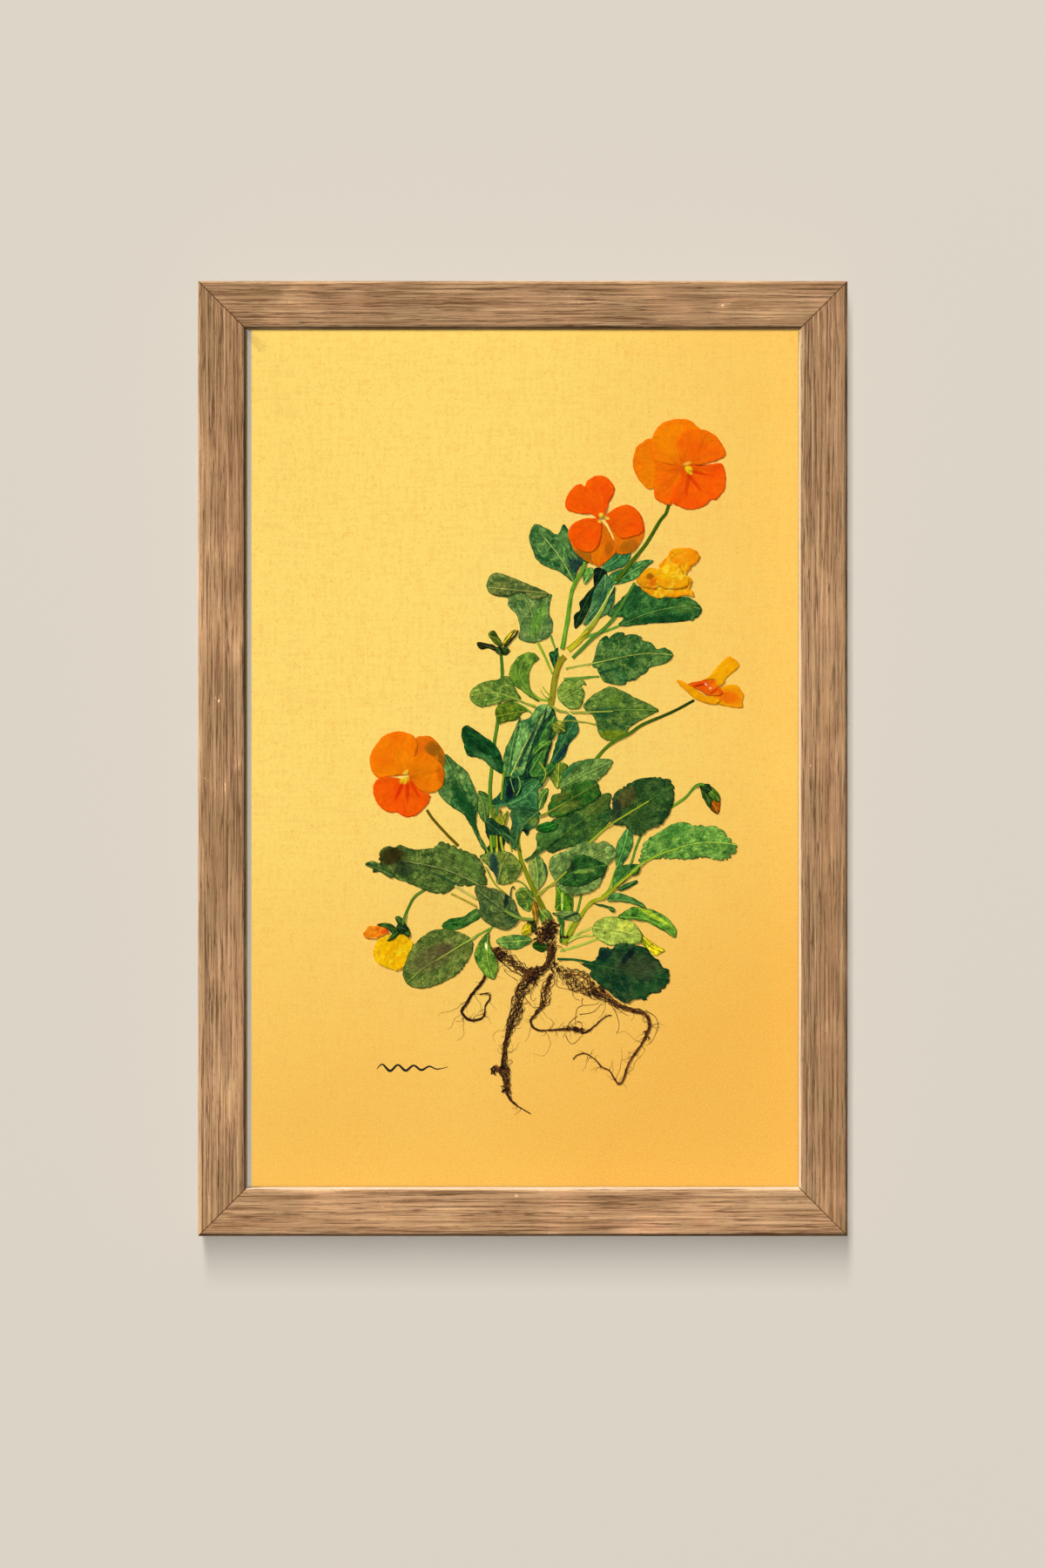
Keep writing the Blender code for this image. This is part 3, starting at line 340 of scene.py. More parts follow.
# Soft patches on a leaf: middle, half length, half width, turn in degrees, colour, strength
PATCHES = {
    "leaf_notched": [(18.3, 64, 4.6, 2.6, -38, (12, 40, 62), 0.9)],
    "leaf_folded_top": [(5, 46, 7, 2.4, 70, (84, 140, 56), 0.6),
                        (2.5, 54.5, 5, 0.9, -30, (24, 70, 44), 0.8)],
    "leaf_long_right": [(47, 46.6, 12, 1.4, 4, (8, 58, 34), 0.85),
                        (35, 51.5, 6, 3, 40, (18, 78, 50), 0.5),
                        (54, 50.5, 4, 2, 10, (74, 116, 62), 0.6)],
    "leaf_toothed": [(28.5, 29.3, 5, 0.6, 16, (10, 60, 44), 0.9),
                     (32, 28, 4, 2, -50, (30, 84, 62), 0.5)],
    "leaf_folded_right": [(27, 15.5, 5, 2.4, 6, (18, 66, 48), 0.8),
                          (30, 8, 7, 1.8, 0, (92, 114, 20), 0.85),
                          (30, 19.5, 3.6, 2, 20, (96, 132, 50), 0.5)],
    "leaf_upright": [(1.8, 5, 12, 0.7, 66, (8, 50, 52), 0.9), (6.2, 5, 11, 0.8, 62, (6, 46, 52), 0.9),
                     (7.2, 14, 4, 0.5, 76, (6, 46, 56), 0.95)],
    "leaf_upright_dark": [(13.4, 2.4, 4, 0.8, 52, (6, 36, 66), 0.9)],
    "leaf_narrow_middle": [(7, 4.2, 5, 0.8, 48, (2, 18, 30), 0.9),
                           (9, 9, 3, 1, 80, (6, 40, 50), 0.7)],
    "leaf_pale_centre": [(14.6, -4.4, 4.4, 1.2, 44, (24, 86, 62), 0.85)],
    "leaf_dark_left": [(-12.5, -0.4, 6, 1.7, -34, (52, 100, 66), 0.9)],
    "leaf_long_left": [(-18.5, -16.5, 13, 2.4, -62, (6, 60, 34), 0.92)],
    "leaf_large_left": [(-44, -32.4, 5.6, 3.6, 10, (44, 40, 16), 0.95),
                        (-39.5, -36.5, 4, 3, -20, (26, 44, 34), 0.8),
                        (-24, -41, 8, 0.7, -28, (20, 58, 44), 0.7),
                        (-18.5, -34.5, 7, 2.2, -50, (96, 134, 66), 0.45)],
    "leaf_dark_low": [(-5.6, -47.2, 3, 0.9, 80, (12, 34, 38), 0.95)],
    "leaf_oval": [(-26, -63.4, 3.4, 2.2, 24, (44, 44, 40), 0.9),
                  (-30, -66, 9, 4.6, 30, (92, 84, 66), 0.6)],
    "leaf_central_lower": [(9.6, -24.5, 6, 2.4, 30, (66, 108, 62), 0.7),
                           (24, -15.6, 6, 3, 30, (84, 104, 50), 0.5),
                           (9, -29, 7, 0.5, 38, (6, 44, 36), 0.9)],
    "leaf_central_upper": [(15, -16, 5, 1.8, 20, (92, 106, 50), 0.6),
                           (13, -12.4, 3.6, 1.6, 30, (100, 110, 48), 0.4)],
    "leaf_brown_right": [(34.4, -13, 4.4, 3, 50, (74, 70, 44), 0.7),
                         (31.2, -17.4, 2, 4.4, 0, (30, 40, 44), 0.7),
                         (46, -12, 4, 3, 30, (52, 92, 50), 0.5)],
    "leaf_light_right": [(68.6, -31, 3, 1.6, 30, (52, 92, 48), 0.7),
                         (50, -24.4, 7, 2, 24, (52, 116, 56), 0.6)],
    "leaf_pale_low": [(27.2, -57.8, 0.5, 0.5, 0, (70, 104, 40), 0.9),
                      (29, -59, 0.35, 0.35, 0, (60, 90, 40), 0.9),
                      (24.4, -57.2, 0.35, 0.35, 0, (60, 100, 40), 0.8),
                      (34, -55.6, 3.4, 2, 20, (196, 206, 96), 0.6)],
    "leaf_large_low": [(38, -69, 8, 4.6, -12, (50, 60, 46), 0.6),
                       (40.6, -77, 5, 2.4, 24, (24, 70, 40), 0.5),
                       (35, -65.5, 4.4, 1.3, 50, (4, 26, 34), 0.95),
                       (27, -65.5, 3, 2, 30, (4, 34, 40), 0.9)],
    "leaf_fold_inside": [(16.6, -36.8, 0.8, 4, 12, (14, 40, 32), 0.9),
                         (20.5, -37.4, 4.4, 0.8, 6, (118, 158, 84), 0.7)],
    "leaf_grey_fold": [(27.6, -37.6, 0.9, 3.4, -30, (20, 50, 50), 0.9),
                       (17, -44.4, 4, 1.6, -10, (66, 96, 56), 0.7),
                       (24, -35.4, 6, 0.5, -18, (24, 60, 44), 0.8)],
    "leaf_round_low": [(-9.6, -35.4, 1.8, 5.4, 8, (14, 50, 62), 0.9)],
    "leaf_saddle": [(15.8, -52.2, 3.4, 0.5, 20, (12, 34, 34), 0.9)],
    "leaf_under_flower_left": [(16.5, 66.5, 3, 2, 0, (8, 28, 60), 0.9)],
    "leaf_sickle": [(43, -52, 8, 0.9, -30, (150, 178, 56), 0.8), (37, -52, 1, 0.8, 0, (30, 80, 44), 0.9)],
    "leaf_beside_low_stem": [(7.6, -37, 0.5, 3.6, 12, (24, 70, 56), 0.9)],
    "leaf_pointed": [(-12.2, -62.4, 0.5, 1.4, 10, (216, 226, 196), 0.9)],
    "leaf_blue_green": [(-4.2, -10.6, 4.4, 1.7, 80, (4, 20, 38), 0.92),
                        (-0.4, -7.4, 3, 0.7, 60, (64, 118, 80), 0.7),
                        (2.6, -8, 2.4, 1.1, 30, (60, 120, 70), 0.7)],
    "leaf_green_tongue": [(0.8, -24.2, 1.5, 1, 0, (8, 14, 20), 0.95),
                          (3.4, -20.8, 2.2, 1.6, 0, (88, 112, 50), 0.7),
                          (-2.6, -21, 1.2, 3.4, 0, (34, 76, 60), 0.7)],
    "leaf_teal_top": [(27.2, 54.6, 5, 0.8, 60, (30, 84, 78), 0.8)],
    "leaf_curled_low": [(-17, -52.6, 3, 0.7, 40, (96, 136, 80), 0.7)],
    "leaf_strap_low": [(13, -47.5, 0.4, 3.4, 0, (190, 214, 130), 0.8)],
}

# ----------------------------------------------------------------------------------- flowers

# For each flower: its throat, then each petal's layer, colours, opacity and outline
ORANGE = ((255, 144, 0), (255, 118, 0), (255, 174, 20))
LIP = ((255, 104, 0), (255, 82, 0), (255, 138, 10))
AMBER = ((255, 184, 2), (255, 146, 0), (255, 206, 40))
GOLD = ((255, 204, 8), (255, 158, 4), (255, 224, 60))
DEEP = ((255, 124, 0), (252, 98, 0), (255, 158, 20))
FLOWERS = {
    "flower_top_right": ((53.6, 96.8), {
        "back_left": (80, ORANGE, 0.86, [
            (43, 106.5), (40, 105.5), (37.5, 103), (36.5, 98.5), (37.5, 94.5), (40, 91),
            (42.5, 89.5), (46.5, 92), (50, 97), (47.5, 103)]),
        "top": (82, ORANGE, 0.94, [
            (43, 106), (43.5, 108), (45.5, 111), (48.5, 112.5), (52, 113), (55.5, 112.5),
            (58, 110.5), (59, 109), (57, 103), (54, 97.4), (52, 97), (48, 98), (44.5, 98.7),
            (43, 101.5)]),
        "right": (84, DEEP, 0.94, [
            (51.4, 105), (53, 108.5), (56.5, 109.5), (60, 109.5), (64, 107.5), (66.5, 104),
            (67.5, 101), (65, 99.3), (60.5, 98), (56, 97.4), (53.6, 97.2), (52, 100)]),
        "low_left": (85, DEEP, 0.94, [
            (44.5, 98.5), (49, 97.6), (53, 97.2), (54, 94), (52, 90), (49.6, 86.6), (49.2, 84.4),
            (46.5, 85), (44, 86.5), (43.5, 89.5), (43.7, 94)]),
        "lip": (87, LIP, 0.96, [
            (53.4, 96.8), (56.5, 97.8), (60.5, 97.7), (65.5, 98.3), (67, 96.5), (67.5, 93.5),
            (67, 89.5), (64.5, 86.3), (62.5, 86), (60.5, 84), (57.5, 83), (54, 83), (49.5, 85),
            (49, 86.4), (50.5, 90), (52.4, 93.5)]),
    }),
    "flower_top_middle": ((26.3, 79.8), {
        "low_left_back": (79, ORANGE, 0.72, [
            (26, 79), (22.5, 80), (19, 79.5), (16, 77.5), (15, 74.5), (16, 71.5), (17.5, 68.5),
            (20.5, 66), (24, 64.5), (25.5, 64), (26.8, 65.5), (27.2, 73)]),
        "low_middle": (80, ORANGE, 0.7, [
            (26.4, 78), (23.8, 71), (22.8, 66), (25.5, 64), (29.5, 67), (31, 69.5), (29.4, 74)]),
        "right_back": (81, ORANGE, 0.66, [
            (27.5, 80.5), (30.5, 83), (34, 84.5), (37, 83.5), (39.5, 80.5), (40.5, 76.5),
            (40, 73.5), (38, 70), (36, 68.5), (34, 68), (31, 68.5), (30, 74), (28.5, 77.5)]),
        "right": (83, LIP, 0.94, [
            (27.2, 80.3), (30.5, 83.2), (34, 84.4), (37, 83.4), (39.5, 80.5), (40.3, 76.5),
            (39, 74.6), (37, 74.1), (34.5, 73.2), (32.5, 73.4), (30.7, 75), (28.7, 77.5)]),
        "left": (84, LIP, 0.94, [
            (26, 79.2), (26.2, 75), (25.5, 71.5), (24, 69.3), (22, 68.6), (19, 69.2), (16.4, 71.7),
            (15.2, 74.5), (16.2, 77.4), (19, 79.3), (22.5, 80)]),
        "fan": (86, LIP, 0.95, [
            (26.2, 80), (24.5, 80.2), (22.5, 81.4), (19, 81.5), (15, 82.5), (14, 85), (15, 88),
            (16.5, 90), (19, 91.5), (20.5, 90.6), (21.5, 92.5), (24, 94), (27, 94), (29, 92.5),
            (30.5, 90), (30, 87.5), (28.5, 84.5), (27.5, 81.5)]),
    }),
    "flower_left": ((-38.2, -5.8), {
        "back": (79, ORANGE, 0.7, [
            (-37.6, -3), (-36, 6.3), (-33.5, 7.5), (-31, 7.5), (-28.5, 5.5), (-26.5, 2.5),
            (-26, 0.3), (-26.5, -2.5), (-31, -2.5)]),
        "upper_left": (81, ORANGE, 0.94, [
            (-38.2, -5.2), (-41.5, -5.7), (-45, -6), (-48, -6.5), (-50, -4.5), (-51, -1),
            (-50.5, 2), (-49, 4.5), (-46.5, 7.5), (-43, 9), (-40, 9), (-37, 8), (-35.5, 6.5),
            (-35, 4), (-36.6, -1)]),
        "right": (83, ORANGE, 0.86, [
            (-38, -5.6), (-38.1, -2), (-36.5, 0.4), (-34, 1.5), (-31, 1.5), (-28.5, -0.5),
            (-26.5, -3), (-26, -6), (-27, -9.5), (-29.5, -11), (-32, -11.5), (-35, -10.2),
            (-37, -8)]),
        "lip": (85, LIP, 0.95, [
            (-38.2, -6), (-40, -6.6), (-43.5, -6.1), (-47, -6), (-49, -7.5), (-50, -9.5),
            (-49.5, -12.5), (-48, -15.5), (-45.5, -17.5), (-43.5, -18), (-42, -17.8),
            (-40, -19), (-38, -19.5), (-35, -18.5), (-32.5, -16), (-31, -14), (-31, -12),
            (-33.5, -10.9), (-36.3, -8.2)]),
    }),
    "flower_crumpled": ((39.5, 58.2), {
        "back": (78, AMBER, 0.9, [
            (43, 59), (45, 62.6), (45.5, 65), (48, 67), (49, 69), (51.5, 70), (55, 70),
            (57, 69.5), (59, 67), (56.5, 64), (54.6, 62), (52, 58)]),
        "under": (79, GOLD, 0.92, [
            (39.5, 57.4), (44, 60), (50, 61), (55.5, 60.4), (56, 58), (55.6, 56.6), (56.6, 55.3),
            (56.4, 53.9), (53.5, 54.5), (50.5, 53.5), (48, 54), (46.5, 53.5), (44, 53.5),
            (41.5, 55), (40, 56)]),
        "front": (81, GOLD, 0.94, [
            (37.5, 59), (39.5, 61.5), (41, 63), (43, 63.5), (45, 63), (48, 64.4), (51, 64.8),
            (53, 62), (52, 59), (49, 57), (46, 57.2), (43, 56.4), (40, 57)]),
        "tongue": (82, GOLD, 0.92, [
            (44, 58.6), (48, 61.4), (52, 62), (55.4, 59.6), (54, 57), (50, 56.4), (46.6, 56.8)]),
    }),
    "flower_side_on": ((59, 23.5), {
        "right": (80, AMBER, 0.92, [
            (62, 22), (65.5, 23.5), (68, 24.5), (71, 24.5), (72.5, 23), (73.5, 21), (73, 19),
            (73, 17), (70, 17), (65, 18), (62.4, 19.8)]),
        "red_inside": (81, ((255, 132, 6), (244, 70, 2), (255, 176, 30)), 0.95, [
            (54.6, 24.7), (59.5, 26), (62.5, 26.5), (65.2, 27.7), (65.3, 24), (66.5, 21.5),
            (62, 20.9), (58.5, 22.8)]),
        "upper": (82, AMBER, 0.93, [
            (59.5, 26), (62, 27.5), (65, 31), (68.5, 34), (72, 31.5), (71, 29.5), (68, 27),
            (65.8, 24), (64.2, 24.6), (63.6, 26.4)]),
        "boat": (84, AMBER, 0.95, [
            (51, 26.1), (52.5, 26), (54.5, 25), (58.5, 22.5), (62.5, 20.2), (65.5, 19.6),
            (65, 18.5), (63.5, 18), (60.5, 18.5), (57, 20), (54.5, 22.3), (52, 24.6)]),
    }),
    "flower_withered": ((-41.5, -58), {
        "yellow": (12, ((255, 216, 4), (255, 186, 2), (255, 228, 40)), 0.94, [
            (-41.5, -58), (-39, -59), (-36.5, -61.5), (-37.4, -65), (-39.6, -69.4), (-41.5, -70.2),
            (-44, -70), (-47.5, -68.5), (-49.5, -66), (-49.5, -63), (-47.4, -59.6)]),
        "ruffle": (13, ((255, 158, 20), (240, 92, 6), (255, 190, 60)), 0.92, [
            (-44.6, -57.6), (-47.6, -59.6), (-50, -59.9), (-52.5, -59.6), (-53.1, -58),
            (-52.2, -56.8), (-51, -55.5), (-49.4, -55.8), (-48, -55), (-46, -55.9)]),
    }),
}

# Marks on petals: middle, half length, half width, turn in degrees, colour, strength
PETAL_PATCHES = {
    "flower_top_right_lip": [
        (55.2, 96, 1.2, 1.9, 30, (255, 224, 30), 1.0), (58.4, 95, 3.6, 0.6, -14, (222, 24, 0), 0.6),
        (54.6, 91, 4.6, 0.8, 80, (224, 34, 0), 0.5), (57, 92, 4.4, 0.7, -52, (224, 30, 0), 0.6),
        (59, 97.7, 2.6, 0.4, 3, (150, 30, 0), 0.9)],
    "flower_top_right_right": [(54.4, 98, 2, 0.7, 20, (255, 190, 60), 0.9)],
    "flower_top_middle_right_back": [(35.6, 70.6, 3.8, 2.8, 20, (190, 104, 4), 0.75)],
    "flower_top_middle_low_left_back": [(20.6, 67.6, 4, 1.6, -24, (176, 104, 10), 0.8),
                                        (24, 66, 1.6, 2.2, 0, (150, 84, 10), 0.6)],
    "flower_top_middle_low_middle": [(28.6, 70, 1.6, 3, -16, (184, 96, 4), 0.7)],
    "flower_top_middle_fan": [(26, 80.9, 0.9, 1.1, 0, (255, 216, 60), 0.9)],
    "flower_top_middle_right": [(27.9, 80, 1.1, 0.6, -20, (255, 214, 70), 0.9)],
    "flower_top_middle_left": [(25.7, 79, 1.0, 0.7, 20, (255, 206, 60), 0.9)],
    "flower_left_back": [(-29.6, 3, 3.4, 2.8, -40, (160, 96, 6), 0.85),
                         (-27.2, -0.6, 1.4, 2.4, 0, (130, 84, 10), 0.7)],
    "flower_left_right": [(-27.4, -5.4, 1.5, 3.4, 10, (206, 92, 4), 0.6)],
    "flower_left_lip": [
        (-39.4, -7, 2, 1.5, 30, (255, 210, 30), 1.0), (-41, -10.4, 4, 0.7, 66, (226, 30, 0), 0.7),
        (-38.4, -11, 4.4, 0.7, 90, (226, 30, 0), 0.7), (-35.8, -10.4, 3.4, 0.7, -60, (226, 30, 0), 0.6)],
    "flower_left_upper_left": [(-38.6, -4.6, 1.6, 1, 30, (255, 206, 60), 0.9)],
    "flower_crumpled_front": [(42.2, 60.6, 1.5, 1.3, 0, (150, 76, 10), 0.8),
                              (45.3, 58.6, 1.3, 0.4, 12, (255, 246, 214), 0.95),
                              (43.6, 58.6, 2.4, 1.2, 30, (230, 96, 6), 0.7)],
    "flower_crumpled_back": [(53.6, 67.4, 3.4, 2.4, 40, (255, 156, 10), 0.7)],
    "flower_side_on_red_inside": [(60.8, 24.8, 0.7, 0.25, -40, (255, 244, 226), 0.9),
                                  (62.3, 23.5, 0.35, 0.35, 0, (255, 240, 220), 0.9),
                                  (58.6, 24.4, 2.6, 0.5, 14, (206, 14, 0), 0.8),
                                  (63.4, 22.4, 1.8, 0.6, 40, (214, 20, 0), 0.7)],
    "flower_side_on_right": [(68, 20.4, 5, 2.2, -12, (246, 100, 4), 0.75)],
    "flower_withered_ruffle": [(-46, -57.4, 1.6, 0.9, 20, (232, 60, 10), 0.8)],
}

# Small parts of the flowers, the bud and the seed capsule: layer, colour and outline
SEPAL = (46, 86, 34)
SEPALS = {
    "flower_withered": [
        (14, SEPAL, [(-41.6, -57), (-44, -54.8), (-47.8, -54.8), (-48.2, -55.5), (-45.6, -56.4),
                     (-43.4, -58)]),
        (15, SEPAL, [(-40.6, -56), (-42.2, -53.8), (-42.4, -52.4), (-40.4, -52.8), (-39, -55)]),
        (16, SEPAL, [(-40.6, -56.4), (-38.2, -55.8), (-37.4, -58.8), (-38.4, -59.4), (-40, -57.8)]),
        (17, SEPAL, [(-41, -56.6), (-43.2, -58), (-45.2, -60.4), (-43.4, -60.2), (-40.6, -58)]),
        (18, (24, 60, 30), [
            (-42.2, -56.4), (-41, -54.6), (-39, -54.8), (-38.6, -57), (-40.4, -58.4)])],
    "bud": [
        (20, (196, 96, 10), [
            (62.2, -13.6), (65.4, -13.8), (65.6, -16.2), (65, -18.4), (63.4, -17.8), (61.8, -16)]),
        (22, SEPAL, [(58.9, -8.9), (61.4, -8.8), (62.8, -11), (62.9, -14.6), (62.1, -16.4),
                     (60.6, -14.4), (59.4, -11.6)]),
        (23, (74, 118, 40), [
            (60.6, -8.9), (63.4, -9.6), (65.3, -11.8), (65.5, -14.2), (64, -14.4), (62, -12)]),
        (24, (20, 56, 30), [
            (59.6, -8.6), (62, -8.4), (62.4, -10.4), (61, -11.4), (59.4, -10.2)])],
    "seed_capsule": [
        (44, (34, 44, 24), [
            (-15.3, 38.6), (-12.2, 38.4), (-9.6, 37.6), (-8, 36.3), (-9.6, 35.9), (-11.6, 36.6),
            (-14.2, 36.4)]),
        (45, (84, 104, 34), [
            (-11.6, 41), (-11, 42.4), (-9.5, 42.7), (-8.4, 41), (-6.8, 38), (-7.7, 37),
            (-9.7, 38.7)]),
        (44.5, (196, 172, 40), [
            (-6.9, 37.8), (-6, 40), (-4.4, 42), (-2.4, 43), (-3.6, 41), (-5.4, 38.4)]),
        (46, (46, 58, 26), [
            (-6.4, 37.4), (-4.6, 39.6), (-2.6, 41.4), (-1.6, 43), (-1.6, 41.8), (-3.8, 39),
            (-5.2, 37.2)]),
        (47, (40, 74, 34), [
            (-7.2, 37), (-5.4, 37.2), (-4.4, 36), (-5, 34.8), (-6.6, 34.4), (-7.4, 35.4)]),
        (48, (32, 62, 32), [
            (-9, 37), (-7.4, 37.2), (-6.8, 35.8), (-7.6, 34.7), (-8.9, 35.2)])],
}

# ------------------------------------------------------------------- stems, stalks and roots

# For each stem of the frame: layer, widths at its two ends, colour at each end and its route
STEMS = {
    "stem_lower": (40, 2.0, 0.8, (94, 106, 12), (108, 128, 16), [
        (9, -59.5), (7, -50.5), (4, -44.5), (1.5, -39), (-0.5, -34), (-1.5, -27.5),
        (-0.5, -22), (0, -17)]),
    "stem_upper": (40, 1.6, 2.0, (88, 108, 38), (128, 124, 28), [
        (0, -15), (1.5, -5.5), (5, 6), (9, 17), (10.5, 26), (12, 31.5), (14, 34)]),
    "stem_top_shoot": (39, 2.0, 1.0, (168, 164, 36), (92, 138, 60), [
        (15, 36), (19, 39.5), (23, 44.5), (27, 51), (29, 56.5)]),
    "stem_side_shoot": (34, 1.5, 0.8, (124, 142, 30), (140, 154, 30), [
        (13.5, -61.5), (17.5, -55), (22.5, -48), (27, -46), (32.5, -41), (38, -36.5)]),
    "stalk_top_right": (43, 1.1, 1.3, (44, 80, 8), (60, 94, 12), [
        (48.5, 84.5), (47.5, 81.5), (45.5, 79), (41, 71.5), (36.5, 66), (31, 59)]),
    "stalk_top_middle": (43, 1.2, 1.4, (86, 140, 44), (78, 134, 40), [
        (20.5, 65.5), (20, 63), (16.5, 56.5), (14.5, 44.5), (13, 36.5)]),
    "stalk_left": (40, 0.9, 1.0, (78, 72, 8), (88, 76, 8), [
        (-32, -17), (-30, -20), (-25.5, -25), (-21.5, -29)]),
    "stalk_crumpled": (42, 1.0, 1.2, (60, 112, 48), (72, 120, 50), [
        (37.2, 58.5), (29.5, 46), (23, 40), (16.5, 33.5)]),
    "stalk_side_on": (41, 0.9, 1.2, (20, 44, 12), (72, 112, 24), [
        (57, 19.5), (49.5, 15.5), (40, 11.5), (35.5, 8.5), (30.5, 6), (27, 3), (24, -0.5)]),
    "stalk_bud": (41, 1.0, 0.9, (88, 136, 40), (70, 120, 50), [
        (49.5, -16), (54, -13), (57, -9.5), (59, -8.5), (60.4, -8.9)]),
    "stalk_withered": (19, 0.9, 1.0, (60, 104, 44), (74, 110, 44), [
        (-40, -55.2), (-39.5, -53), (-38, -49.5), (-36, -46), (-32.5, -43.5)]),
    "stalk_capsule": (40, 1.0, 1.3, (58, 108, 44), (72, 116, 34), [
        (-7.3, 34.8), (-7, 26.5), (-8.5, 12), (-9.5, 5.5), (-10.5, -4), (-11, -12),
        (-10, -20), (-9.5, -29.5)]),
}

